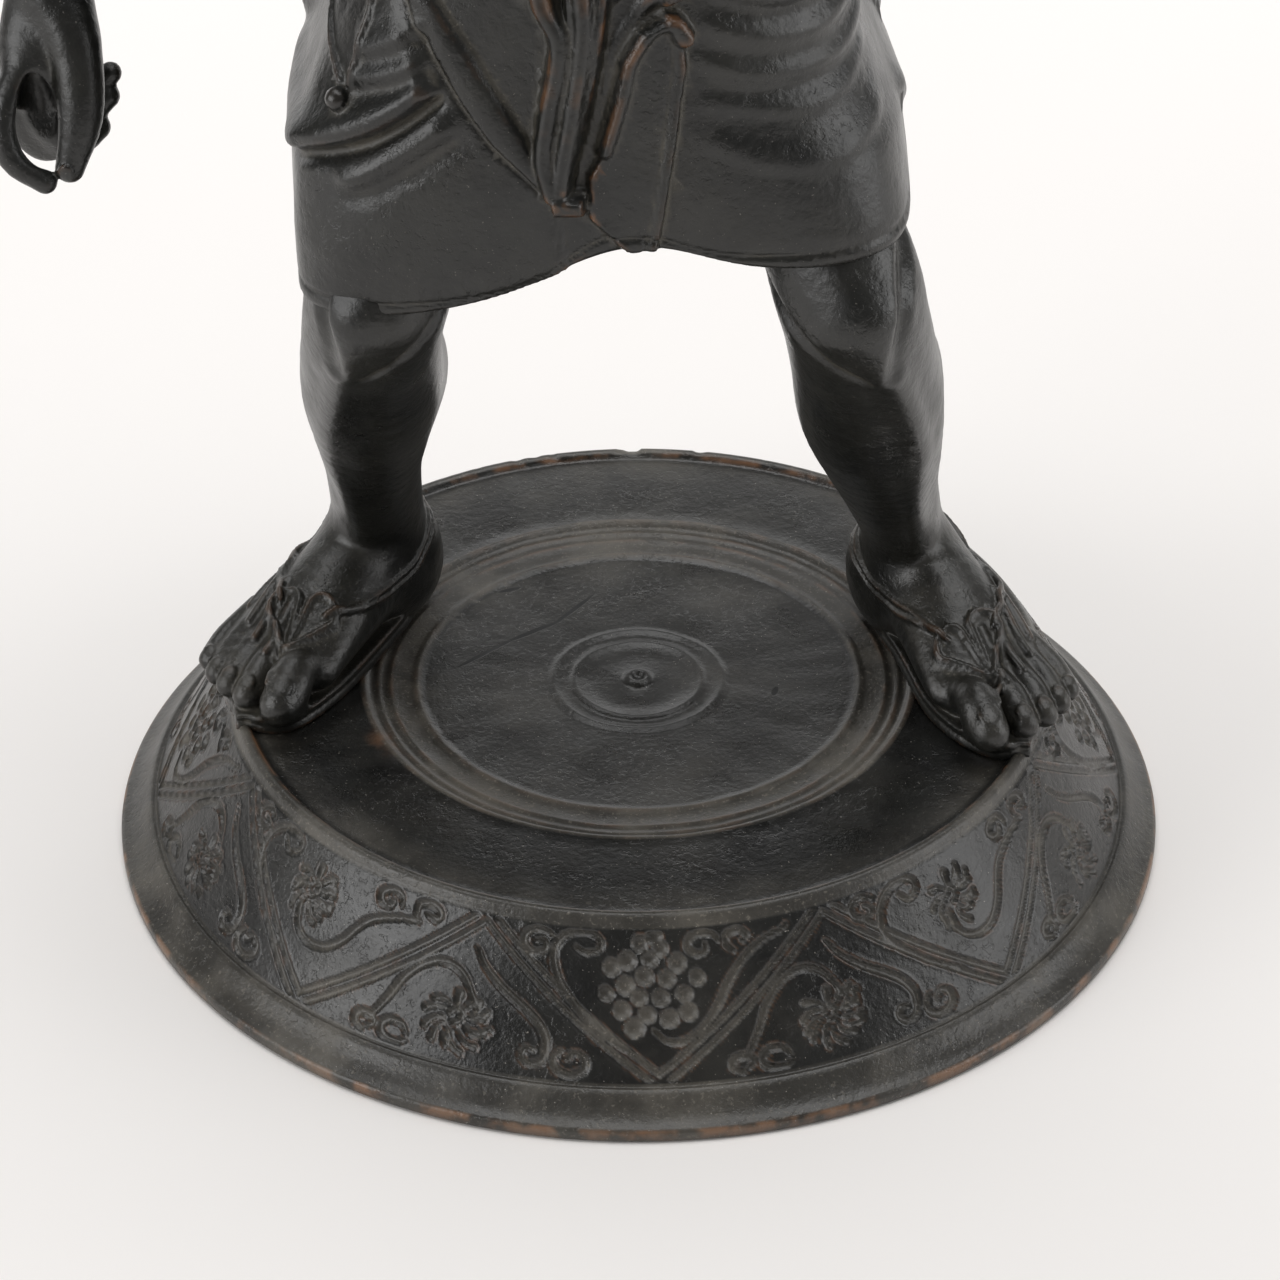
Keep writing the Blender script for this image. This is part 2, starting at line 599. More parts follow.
class Bone:
    """A straight tapered piece with an elliptical section and rounded ends.
    Each end is (x, y, z, half width, half depth), and front is the direction that the depth faces."""

    def __init__(self, start, end, front):
        self.a, b = np.array(start[:3], float), np.array(end[:3], float)
        self.sizes = np.array([start[3:], end[3:]], float)
        self.length = max(np.linalg.norm(b - self.a), TINY)
        self.axis = (b - self.a) / self.length
        self.side = unit(np.cross(self.axis, front))
        self.forward = np.cross(self.side, self.axis)
        reach = self.sizes.max()
        self.low = np.minimum(self.a, b) - reach
        self.high = np.maximum(self.a, b) + reach

    def distance(self, x, y, z):
        dx, dy, dz = (v - np.float32(c) for v, c in zip((x, y, z), self.a))
        frame = np.array([self.axis, self.side, self.forward], np.float32)
        along, across, forth = (dx * d[0] + dy * d[1] + dz * d[2] for d in frame)
        t = np.clip(along / self.length, 0, 1)
        past = along - t * self.length
        (w0, d0), (w1, d1) = self.sizes
        width, depth = w0 + t * (w1 - w0), d0 + t * (d1 - d0)
        return ellipse_distance((across, width), (forth, depth), (past, np.minimum(width, depth)))


def limb(stations, front=(0, -1, 0), steps=4):
    """Bones along a smooth curve through stations of x, y, z, half width and half depth."""
    dense = curve_through(stations, steps)
    return [Bone(a, b, front) for a, b in zip(dense, dense[1:])]


def strand(points, radius, steps=3):
    """Round bones along a smooth curve, such as a cord or finger. radius is one number or one per point."""
    radii = np.broadcast_to(radius, len(points))
    dense = curve_through([[*p, r, r] for p, r in zip(points, radii)], steps)
    made = []
    for a, b in zip(dense, dense[1:]):
        axis = unit(b[:3] - a[:3])
        made.append(Bone(a, b, (1, 0, 0) if abs(axis[0]) < 0.7 else (0, 1, 0)))
    return made


# Legs, feet and sandals. A leg's stations are x, y, z, half width and half depth, from the ankle up.
LEG_VOXEL = 0.55
LEGS = {
    "right": {"heel": (-46.0, 33.0), "toe": (-72.5, -23.5), "width": 30.0, "splay": 4.8, "out": -1},
    "left": {"heel": (48.0, 28.0), "toe": (72.5, -30.0), "width": 28.0, "splay": 1.2, "out": 1},
}
LEG_STATIONS = {
    "right": [
        (-48.2, 26.5, 40, 9.6, 12.0), (-49.0, 24.5, 49, 8.6, 10.8), (-49.6, 19.5, 59, 8.7, 9.6),
        (-49.7, 12.0, 74, 9.2, 10.4), (-49.2, 4.0, 89, 11.4, 13.2), (-48.4, -6.0, 103, 13.0, 15.2),
        (-47.6, -17.0, 117, 12.6, 13.6), (-46.6, -25.5, 128, 12.6, 13.6), (-45.0, -28.0, 137, 13.0, 14.6),
        (-41.5, -22.0, 150, 13.4, 14.4), (-32.0, -10.0, 172, 14.0, 15.0),
    ],
    "left": [
        (51.0, 19.5, 40, 9.2, 11.4), (50.8, 17.4, 49, 8.2, 10.4), (49.9, 13.4, 59, 7.9, 9.0),
        (47.1, 5.6, 73, 9.2, 10.8), (44.7, -2.0, 87, 11.6, 13.4), (42.4, -11.0, 101, 13.4, 15.4),
        (40.6, -20.5, 116, 13.2, 13.8), (38.6, -28.0, 129, 13.0, 13.8), (36.6, -30.0, 138, 13.2, 14.6),
        (32.0, -22.0, 150, 12.6, 14.0), (24.0, -8.0, 172, 13.5, 14.5),
    ],
}
SHIN_CREST = {
    # height, and how far the edge of the shin lies to the outer side of the leg's middle
    "right": [(118, 4.2), (105, 5.6), (94, 6.4), (84, 5.4), (72, 3.4), (60, 1.6)],
    "left": [(118, 5.4), (108, 6.8), (97, 7.0), (86, 5.0), (74, 3.0), (60, 1.4)],
}
KNEE_EDGE = [(150, 1.2), (141, 2.2), (134, 3.8), (127, 3.8)]
OUTER_CREASE = [(149, 12.0), (141, 10.0), (132, 7.6), (125, 5.6)]
KNEE_CREASE = [(140, -13.0), (134.5, -11.0), (130.5, -7.6), (126.5, -3.8), (122.8, 1.6)]
SOLE_THICKNESS = 3.4
FOOT_FLOOR = PLATE_TOP + 0.12


class FootFrame:
    """Places on a foot: a share of its length from the heel, millimetres to the little toe, and height."""

    def __init__(self, side):
        leg = LEGS[side]
        self.heel = np.array([*leg["heel"], FOOT_FLOOR])
        run = np.array([*leg["toe"], FOOT_FLOOR]) - self.heel
        self.length = np.linalg.norm(run)
        self.u = run / self.length
        self.v = np.array([-self.u[1], self.u[0], 0.0]) * leg["out"]
        self.heading = math.degrees(math.atan2(self.u[1], self.u[0]))
        self.width = leg["width"]
        self.splay = leg["splay"]

    def at(self, share, across=0.0, up=0.0):
        return self.heel + self.u * (share * self.length) + self.v * across + np.array([0, 0, up])

    def unrolled(self, x, y):
        """Millimetres from the heel along the foot and across it."""
        dx, dy = x - np.float32(self.heel[0]), y - np.float32(self.heel[1])
        return dx * self.u[0] + dy * self.u[1], dx * self.v[0] + dy * self.v[1]


def sole_half_width(share, width):
    blunt = np.where(share > 0.5, 3.4, 5.0)
    round_ends = np.sqrt(np.clip(1 - np.abs(2 * share - 1) ** blunt, 0, 1))
    return (0.36 + 0.14 * smoothstep(share, 0.3, 0.72)) * width * round_ends


class Sole:
    """A flat sole with the outline of a foot and a groove round its edge."""

    def __init__(self, foot):
        self.foot = foot
        reach = np.array([foot.width, foot.width, 0])
        ends = np.array([foot.at(0), foot.at(1)])
        self.low = ends.min(0) - reach
        self.high = ends.max(0) + reach + np.array([0, 0, SOLE_THICKNESS])

    def distance(self, x, y, z):
        f = self.foot
        along, across = f.unrolled(x, y)
        share = along / f.length
        # the toe end is cut a little askew, and the front half is shifted towards the little toe
        share = share + 0.0085 * smoothstep(share, 0.4, 0.8) * np.maximum(across + 5, 0)
        across = across - f.splay * smoothstep(share, 0.3, 0.75)
        inside = np.clip(share, 0.004, 0.996)
        edge = sole_half_width(inside, f.width) - 1.6 * smoothstep(-across, 0, 8)
        past = np.abs(across) - edge
        flat = np.hypot(np.maximum(past, 0), np.abs(share - inside) * f.length) + np.minimum(past, 0)
        up = z - f.heel[2]
        flat = 0.85 * flat + 0.45 * bump(up, 1.9, 0.55)
        return np.maximum(flat, np.maximum(up - SOLE_THICKNESS, -up))


TOES = {
    # radius, reach as a share of the foot's length, millimetres towards the little toe
    "right": [(4.3, 0.93, -3.2), (3.0, 0.91, 4.6), (2.7, 0.88, 9.4), (2.5, 0.84, 13.4), (2.3, 0.785, 16.8)],
    "left": [(4.1, 0.965, -6.2), (3.0, 0.955, 1.4), (2.7, 0.93, 6.4), (2.5, 0.89, 10.6), (2.3, 0.84, 14.2)],
}
FOOT_ROWS = [
    # share of the length from the heel, share of the splay, height of the middle, half width, half height
    (0.06, 0.0, 8.5, 7.6, 8.2), (0.16, 0.0, 11.0, 9.0, 10.5), (0.3, 0.0, 12.5, 9.8, 11.0),
    (0.45, 0.2, 11.0, 10.8, 9.4), (0.6, 0.6, 8.4, 12.2, 6.8), (0.7, 0.8, 6.4, 12.4, 4.8),
    (0.76, 0.6, 5.4, 10.2, 3.2),
]
LEAVES = {
    # the leaf on the crossing of the straps: share of the length, millimetres across and degrees of turn
    "right": (0.655, 0.8, -4),
    "left": (0.675, -1.6, 7),
}


def toe(foot, radius, reach, across):
    """One toe: it starts as a ridge on top of the foot, bends over its knuckle and ends in a round pad."""
    root = reach - 0.24
    shares, *columns = np.array(FOOT_ROWS).T
    lean, middle, half, tall = (np.interp(root, shares, column) for column in columns)
    off = min(0.92, abs(0.8 * across - lean * foot.splay) / half)
    line = [
        foot.at(root, 0.8 * across, middle + tall * math.sqrt(1 - off * off) - 0.8 * radius),
        foot.at(reach - 0.13, across * 0.97, SOLE_THICKNESS + 1.15 * radius + 1.0),
        foot.at(reach - 0.07, across, SOLE_THICKNESS + radius * 0.84),
        foot.at(reach - 0.03, across, SOLE_THICKNESS + radius * 0.7),
    ]
    return strand(line, [radius * 0.8, radius * 0.94, radius, radius * 0.92])


def nail(foot, radius, reach, across):
    spot = foot.at(reach - 0.03, across, SOLE_THICKNESS + radius * 1.58)
    return Ball(spot, (radius * 0.7, radius * 0.6, radius * 0.24), (0, 24, foot.heading))


def foot_body(foot):
    rows = [(foot.at(share, foot.splay * lean, up), half, tall) for share, lean, up, half, tall in FOOT_ROWS]
    return limb([(*place, half, tall) for place, half, tall in rows], front=(0, 0, 1))


def leaf(clay, foot, side):
    """The leaf of two lobes over the crossing of the straps, with its point towards the toes. Its edge stands
    up from the skin of the foot and its two panels are sunk."""
    share, middle, degrees = LEAVES[side]
    cosine, sine = math.cos(math.radians(degrees)), math.sin(math.radians(degrees))
    slant = (8.0, 3.4)

    def height(x, y, z):
        along, over = foot.unrolled(x, y)
        along, over = along - share * foot.length, over - middle
        run = along * cosine + over * sine + 2.2
        off = np.abs(over * cosine - along * sine) - 3.7
        t = np.clip((slant[0] * run - slant[1] * off) / (slant[0] ** 2 + slant[1] ** 2), 0, 1)
        inside = 3.5 - 2.7 * t - np.hypot(run - slant[0] * t, off + slant[1] * t)
        plate = 1.15 * smoothstep(inside, -0.45, 0.35) - 0.75 * smoothstep(inside, 0.75, 1.4)
        return plate * smoothstep(z, FOOT_FLOOR + 6, FOOT_FLOOR + 8)

    centre = foot.at(share, middle, 14)
    clay.raise_by(centre - 13, centre + 13, height)


def straps(clay, foot, side):
    """Pairs of fine cords from the leaf round the ankle to the heel, and one between the toes."""
    share, middle, _ = LEAVES[side]
    for way, lift in ((-1, 0.0), (1, 3.6)):
        route = [
            (share - 0.03, middle + way * 4.8, 16), (0.52, way * 8.8, 15 + 0.3 * lift),
            (0.38, way * 10.8, 13.4 + 0.8 * lift), (0.27, way * 11, 13.2 + lift),
            (0.19, way * 11.4, 15.4 + lift), (0.1, way * 10, 18.5 + 0.6 * lift), (0.0, way * 5, 20.6),
            (-0.03, 0, 21),
        ]
        for rise in (0.0, 1.9):
            line = [foot.at(*p) for p in curve_through(np.add(route, (0, 0, rise)), 3)]
            clay.add(strand(clay.snap(line, 0.1), 0.58, 2), 0.3)
    gap = 0.5 * (TOES[side][0][2] + TOES[side][1][2])
    start = middle + 2.4
    thong = [(share + 0.09, start), (share + 0.14, 0.5 * (start + gap)), (0.86, gap), (0.9, gap)]
    clay.add(strand(clay.snap([foot.at(*p, 11) for p in thong], 0.1), 0.62), 0.5)


def make_leg(side):
    stations = np.array(LEG_STATIONS[side])
    foot = FootFrame(side)
    corners = [foot.at(share, across) for share in (0, 1) for across in (-18, 18)]
    reach = np.vstack([corners, stations[:, :3]])
    low, high = reach.min(0) - (9, 18, 0), reach.max(0) + 9
    low[2], high[2] = FOOT_FLOOR - 1.5, 168
    clay = Clay(low, high, LEG_VOXEL)
    clay.add(limb(stations))
    leg_muscles(clay, stations, side)
    clay.add(foot_body(foot), 6)
    clay.add(Ball(foot.at(0.09, 0, 9), (9.0, 8.2, 9.5), (0, 0, foot.heading)), 4)
    ankle_bones(clay, stations[1, :3], foot, LEGS[side]["out"])
    clay.add(Sole(foot))
    for number, digit in enumerate(TOES[side]):
        clay.add(toe(foot, *digit), 0.7 if number else 2.6)
        clay.add(nail(foot, *digit), 0.3)
        if number:
            tendon(clay, foot, number, digit)
    leaf(clay, foot, side)
    straps(clay, foot, side)
    return clay.mesh("figure_leg_" + side)


def leg_muscles(clay, stations, side):
    """Calf behind, the inner half lower and fuller, then the thigh's wedge, the knee and the shin's crest."""
    out = LEGS[side]["out"]

    def on_front(z, offset, lift=0.0):
        """A place on the front of the leg at a height, so far to its outer side."""
        x, y, wide, deep = (np.interp(z, stations[:, 2], stations[:, k]) for k in (0, 1, 3, 4))
        lean = math.sqrt(max(0.0, 1 - min(1.0, abs(offset) / wide) ** 2))
        return np.array([x + out * offset, y - (deep * 1.12 + lift) * lean, z])

    calf = stations[5, :3]
    clay.add(Ball(calf + (-5.0 * out, 9, -2), (8.4, 8.6, 18), (31, 0, 0)), 4)
    clay.add(Ball(calf + (5.2 * out, 7, 3), (7.2, 8.2, 16), (31, 0, 0)), 4)
    wedge = [
        (*on_front(150, 0, -10), 12.4, 10.4), (*on_front(136, 1.2, -8.2), 9.6, 9.0),
        (*on_front(124.5, 3.0, -4.6), 3.4, 5.2),
    ]
    for upper, lower in zip(wedge, wedge[1:]):
        clay.add(Bone(upper, lower, (0, -1, 0)), 2)
    clay.add(strand([on_front(z, offset, -1.7) for z, offset in KNEE_EDGE + SHIN_CREST[side]], 2.2), 3.2)
    inner = [on_front(z, offset, 1) for z, offset in KNEE_CREASE]
    widths = [1.5] * 6 + [1.3, 1.1, 0.9, 0.7, 0.6, 0.5, 0.4]
    clay.cut(strand(clay.snap(curve_through(inner, 3), 0.35), widths), 1.5)
    outer = [on_front(z, offset, 1) for z, offset in OUTER_CREASE]
    clay.cut(strand(clay.snap(outer, 0.6), [1.4, 1.5, 1.3, 0.8]), 3)


def ankle_bones(clay, ankle, foot, out):
    """The two knobs of the ankle, the outer one bigger, and the tendon down to the heel."""
    clay.add(Ball(ankle + (7.6 * out, 2, -4), (3.4, 4.4, 4.6)), 3)
    clay.add(Ball(ankle + (-7.4 * out, 0, -2), (3.2, 4.4, 4.6)), 3)
    heel = [ankle + (0, 9.5, 8), ankle + (0, 11, -4), foot.at(0.03, 0, 11)]
    clay.add(strand(heel, [2.6, 2.4, 3.6]), 4)


def tendon(clay, foot, number, digit):
    """A ridge on the skin that runs back from a toe towards the ankle."""
    _, reach, across = digit
    line = []
    for part in (1, 0.8, 0.6, 0.42):
        back = part * (0.29 + 0.04 * number)
        line.append(foot.at(reach - back, across * (1 - back), 10 + 14 * back))
    clay.add(strand(clay.snap(line, 0.15), [0.5, 0.8, 0.9, 0.8]), 0.6)


# The short mantle with its sash, flap and cords. Places on it are millimetres round it from the middle of its
# front, positive to the figure's left, and millimetres of height.
MANTLE_SECTIONS = [
    # z, x and y of the middle, half width, half depth, squareness
    (128.0, -5.8, -9.5, 54.0, 34.4, 4.6), (136.5, -5.8, -9.5, 54.0, 34.6, 4.6),
    (150.0, -6.0, -9.5, 54.1, 36.4, 4.4), (165.0, -7.2, -7.5, 53.2, 38.7, 3.3),
    (182.0, -7.6, -4.0, 46.6, 41.0, 2.9), (200.0, -6.6, -2.0, 43.2, 41.6, 2.9),
    (218.0, -4.5, -1.0, 42.0, 39.6, 2.9), (236.0, -3.0, -1.0, 41.5, 37.5, 2.9),
    (256.0, -3.0, -1.0, 41.0, 36.5, 2.9),
]
UNROLLED_SQUARENESS = 2.9
MANTLE_MIDDLE = (50.0, 39.0)
MANTLE_WALL = 3.2
RELIEF_STEP = 0.4
MANTLE_VOXEL = 0.62
HEM_HEIGHT = 137.0
HEM_HOLLOW = 11.0
WAIST_ROLL = {"z": 236.0, "lean": 0.13, "out": 4.2, "high": 6.2}
BORDER_OUTER = [
    (-7.1, 164.1), (-9.7, 166.5), (-16.6, 174.4), (-25.1, 188.5), (-31.5, 198), (-43, 220), (-50, 236),
]
BORDER_INNER = [
    (-6.3, 166.6), (-9.3, 172.1), (-13.9, 181.2), (-19.5, 190.4), (-26, 199), (-36, 218), (-43, 236),
]
SASH_FOLDS = [
    # line, half width and height of each fold of the sash
    ([(-6.6, 165.5), (-7.6, 172.7), (-6.1, 182.6), (-5.2, 193.5), (-8.3, 201), (-11, 212)], 1.5, 4.0),
    ([(-5.6, 165.5), (-4.4, 172.8), (-2.6, 182.6), (-1.8, 193.4), (-2.2, 201), (-5, 212)], 1.5, 4.3),
    ([(-6.2, 168), (-6.0, 176), (-4.3, 185), (-3.7, 196), (-6, 212)], 0.7, 3.0),
    ([(-4.8, 168), (-2.6, 175), (-0.6, 184), (0.6, 194), (0.5, 204), (-2, 214)], 0.9, 2.6),
]
TASSEL = (-4.2, 163.9)
FLAP_LEFT = [
    (10.0, 150.4), (6.6, 152), (3.8, 154.5), (-1.2, 160.5), (-0.8, 168.5), (1.8, 174), (4.0, 182.5),
    (4.8, 190), (7.4, 195.8), (11.0, 197.6),
]
FLAP_RIGHT = [
    (10.4, 150.4), (10.2, 153.3), (12.1, 163.8), (13.7, 176.2), (14.7, 188.3), (13.9, 194.3), (11.4, 197.6),
]
FLAP_FOLDS = [
    ([(1.8, 174), (4.2, 183), (5.2, 190), (8.0, 195.6), (11.4, 197), (13.8, 194)], 1.3, 1.5),
    ([(2.4, 184), (3.0, 191), (6.6, 198), (12, 203), (22, 207)], 1.5, 1.9),
    ([(0.8, 188), (1.0, 196), (4.0, 205), (10, 211)], 1.3, 1.5),
]
SOFT_FOLDS = [
    # to the left of the flap's edge round the hip
    ([(13, 198), (22.7, 193.4), (32.9, 191.0), (47.1, 190.8), (64, 196)], 2.4, 1.2),
    ([(13, 192), (23.1, 186.6), (34.4, 184.6), (49.4, 184.6), (68, 190)], 2.5, 1.3),
    ([(14, 183), (31.8, 178.6), (44.9, 178.4), (66, 183)], 2.4, 0.9),
    ([(15, 177), (23.8, 171.5), (30.6, 168.9), (42, 168), (62, 173)], 2.2, 0.65),
    ([(16, 204), (30, 199), (46, 199), (62, 203)], 2.6, 1.7),
    ([(12, 212), (28, 209), (46, 210), (60, 214)], 2.6, 1.5),
    # under the overfold on the other hip, and across the belly
    ([(-44, 163.5), (-38, 166), (-31.7, 170.3), (-24.3, 176.1), (-20.5, 179.5)], 1.9, 1.5),
    ([(-42, 181.5), (-36.4, 183.6), (-31.1, 186.0), (-25, 190)], 1.8, 1.1),
    ([(-42, 187), (-36, 189), (-31, 192), (-27, 196)], 1.7, 1.0),
    ([(-52, 196), (-42, 199), (-34, 207)], 2.4, 1.6),
    ([(-60, 206), (-46, 209), (-38, 218)], 2.6, 1.6),
    ([(-30, 210), (-20, 214), (-6, 220), (14, 222), (34, 221), (52, 226)], 2.6, 1.7),
    ([(-33, 222), (-16, 227), (6, 229), (30, 229)], 2.2, 1.2),
    # low on the back
    ([(76, 186), (98, 168), (120, 160), (149, 156)], 3.0, 1.9),
    ([(-149, 156), (-120, 158), (-98, 168), (-72, 186)], 3.0, 1.9),
    ([(70, 168), (88, 156), (104, 151)], 2.4, 1.3),
    ([(-76, 160), (-92, 149), (-110, 145)], 2.4, 1.3),
]
BACK_FOLDS = [
    # these run on round the back from each hip
    ([(80, 204), (104, 184), (128, 173), (149, 169)], 3.2, 2.3),
    ([(78, 222), (104, 202), (128, 191), (149, 187)], 3.0, 2.1),
    ([(96, 224), (122, 210), (149, 206)], 2.6, 1.5),
]
for fold_line, fold_half, fold_height in BACK_FOLDS:
    mirrored = [(-place, z) for place, z in reversed(fold_line)]
    SOFT_FOLDS += [(fold_line, fold_half, fold_height), (mirrored, fold_half, fold_height)]
POUCH_LIP = [
    (-84, 172), (-70, 166.5), (-55, 165.2), (-48, 167.6), (-37.8, 172.4), (-31.3, 176.7), (-26, 181.2),
    (-22, 185),
]
CORDS = [
    [(-60, 206), (-57, 195), (-50, 186), (-43.4, 180.6)],
    [(-40, 206), (-39.4, 193), (-40, 186), (-40.8, 180.6)],
]


def mantle_section(z):
    table = np.array(MANTLE_SECTIONS).T
    return [np.interp(z, table[0], row).astype(np.float32) for row in table[1:]]


def round_the_mantle():
    """Angles from the middle of the front, and the millimetres round a middle section that they stand for."""
    angle = np.radians(np.linspace(-180, 180, 721))
    wide, deep = MANTLE_MIDDLE
    n = UNROLLED_SQUARENESS
    radius = (np.abs(np.sin(angle) / wide) ** n + np.abs(np.cos(angle) / deep) ** n) ** (-1 / n)
    steps = np.hypot(np.diff(radius * np.sin(angle)), np.diff(radius * np.cos(angle)))
    length = np.concatenate([[0], np.cumsum(steps)])
    return angle, length - length[360]


def on_mantle(s, z, lift=0.0):
    """The place in space of millimetres round the mantle and a height, out from its plain body by a lift."""
    angles, lengths = round_the_mantle()
    angle = np.interp(s, lengths, angles)
    x, y, wide, deep, n = (float(v) for v in mantle_section(z))
    radius = (abs(math.sin(angle) / wide) ** n + abs(math.cos(angle) / deep) ** n) ** (-1 / n) + lift
    return np.array([x + radius * math.sin(angle), y - radius * math.cos(angle), z])


def hem_height(x):
    """The hem rises towards the figure's left, and arches a little between the thighs."""
    return HEM_HEIGHT + bump(x, -1, 17) * 6 + 11 * smoothstep(x, -62, 10)


def fold_heights(s, z, folds):
    """Soft rounded folds along lines, with a longer upper side and a slight hollow below."""
    total = np.zeros(s.shape)
    for line, half, height in folds:
        points = curve_through(line, 5)
        low, high = points.min(0) - 5 * half, points.max(0) + 5 * half
        near = (s > low[0]) & (s < high[0]) & (z > low[1]) & (z < high[1])
        d, share, above = nearest_on_line(s[near], z[near], points)
        fade = smoothstep(share, 0.0, 0.18) * (1 - smoothstep(share, 0.82, 1.0))
        profile = bump(d, 0, np.where(above, 1.6 * half, half))
        hollow = 0.45 * ~above * bump(d, 1.5 * half, half)
        total[near] += height * fade * (profile - hollow)
    return total


def cord_heights(s, z, folds):
    """Narrow round folds that stand on the surface, with steep sides."""
    total = np.zeros(s.shape)
    for line, half, height in folds:
        d = nearest_on_line(s, z, curve_through(line, 5))[0]
        total = np.maximum(total, height * np.sqrt(np.clip(1 - (d / (1.35 * half)) ** 2, 0, 1)))
    return total


def groove(d, half, depth):
    return -depth * bump(d, 0, half)


def line_at(z, line):
    """Where a line that runs up the mantle is at a height, in millimetres round it."""
    points = np.array(sorted(line, key=lambda p: p[1]))
    return np.interp(z, points[:, 1], points[:, 0])


def mantle_relief(s, z, x):
    """Heights of everything on the mantle over its plain body."""
    outer, inner = line_at(z, BORDER_OUTER), line_at(z, BORDER_INNER)
    height = fold_heights(s, z, SOFT_FOLDS)
    height = height + border_relief(s, z, outer, inner) + pouch_relief(s, z, outer)
    height = with_sash(with_flap(height, s, z), s, z)
    # a line is engraved along the hem
    return height + groove(z - hem_height(x) - 3.2, 0.45, 0.6)


def border_relief(s, z, outer, inner):
    """The cloth on the figure's right ends in a slanting border. Inside it the tunic lies deeper."""
    cloth = smoothstep(inner - s, -0.45, 0.45)
    front = smoothstep(s, -60, -50) * smoothstep(-s, -16, -8)
    inside = (1 - cloth) * smoothstep(z, 162, 168) * (1 - smoothstep(s, -1, 4))
    place = np.clip((s - outer) / np.maximum(inner - outer, 0.5), 0, 1)
    on_border = (s > outer - 0.3) & (s < inner + 0.3) & (z > 163)
    edge = np.where(on_border, 0.55 * np.sin(np.pi * place), 0) + front * groove(s - outer, 0.42, 0.7)
    pleats = inside * (0.75 * np.cos((s - inner) * TAU / 4.8) - 0.9)
    return cloth * front * smoothstep(-s, 1, 6) * 1.3 + edge + pleats


def pouch_relief(s, z, outer):
    """The overfold hangs down like a pouch with a rolled lower edge."""
    lip = curve_through(POUCH_LIP, 5)
    rise = z - np.interp(s, lip[:, 0], lip[:, 1])
    pouch = smoothstep(rise, -0.8, 1.1) * (1.1 + 2.3 * bump(rise, 3.0, 3.4))
    pouch = pouch * (1 - 0.8 * smoothstep(rise, 9, 26)) * (1 - 0.55 * smoothstep(-s, 50, 64))
    return smoothstep(outer - s, 1.0, 4.5) * (s > -84) * (pouch + groove(rise + 1.5, 1.2, 1.1))


def with_flap(height, s, z):
    """The flap beside the sash, with a double border on its outer edge, and the deep groove between them."""
    left, right = line_at(z, FLAP_LEFT), line_at(z, FLAP_RIGHT)
    bottom, top = FLAP_LEFT[0][1] - 0.2, FLAP_LEFT[-1][1]
    within = np.minimum(np.minimum(s - left, right - s), np.minimum(z - bottom, top - z))
    flap = smoothstep(within, -0.4, 0.5) * (2.1 - 0.5 * np.sin(np.pi * np.clip((s - left) / 12, 0, 1)))
    seam = np.where(within > 0, groove(right - s - 2.3, 0.4, 0.6), 0)
    height = np.where(within > -0.4, 0.2 * np.maximum(height, 0), height) + flap + seam
    folds = cord_heights(s, z, FLAP_FOLDS)
    height = np.where(folds > 0, np.maximum(height, 1.2 + folds * 1.4), np.maximum(height, -1.2))
    valley = smoothstep(s - line_at(z, SASH_FOLDS[3][0]), -0.4, 1.6) * smoothstep(left - s, -0.2, 1.6)
    return height - 3.2 * valley * smoothstep(z, 162, 172) * (1 - smoothstep(z, 198, 206))


def with_sash(height, s, z):
    """The sash and the square end of it."""
    sash = cord_heights(s, z, SASH_FOLDS)
    height = np.where((z < 216) & (sash > 0), np.maximum(height, sash), height)
    past = np.maximum(np.abs(s - TASSEL[0]) / 2.9, np.abs(z - TASSEL[1]) / 1.75)
    return np.maximum(height, 4.6 * (1 - smoothstep(past, 0.82, 1.06)))


def relief_map(s, z):
    """The relief at places on the mantle, read from a flat map of it."""
    map_s = np.arange(-150, 150.1, RELIEF_STEP)
    map_z = np.arange(132, 252.1, RELIEF_STEP)
    flat_s, flat_z = np.meshgrid(map_s, map_z, indexing="ij")
    wide = np.interp(flat_s, *round_the_mantle()[::-1])
    heights = mantle_relief(flat_s, flat_z, -6 + 54 * np.sin(wide))
    column = np.clip((s - map_s[0]) / RELIEF_STEP, 0, len(map_s) - 1.001)
    row = np.clip((z - map_z[0]) / RELIEF_STEP, 0, len(map_z) - 1.001)
    i, k = column.astype(int), row.astype(int)
    f, g = column - i, row - k
    low = heights[i, k] * (1 - f) + heights[i + 1, k] * f
    high = heights[i, k + 1] * (1 - f) + heights[i + 1, k + 1] * f
    return low * (1 - g) + high * g


def roll_relief(x, y, z):
    """The thick roll of cloth round the waist, twisted a little."""
    up = z - (WAIST_ROLL["z"] + WAIST_ROLL["lean"] * y)
    turn = np.arctan2(x + 3, -y)
    rope = 0.9 * np.cos(9 * turn + up * 0.42)
    shape = np.sqrt(np.clip(1 - (up / WAIST_ROLL["high"]) ** 2, 0, 1))
    return shape * (WAIST_ROLL["out"] + rope) - 1.5 * bump(up, -WAIST_ROLL["high"], 1.6)


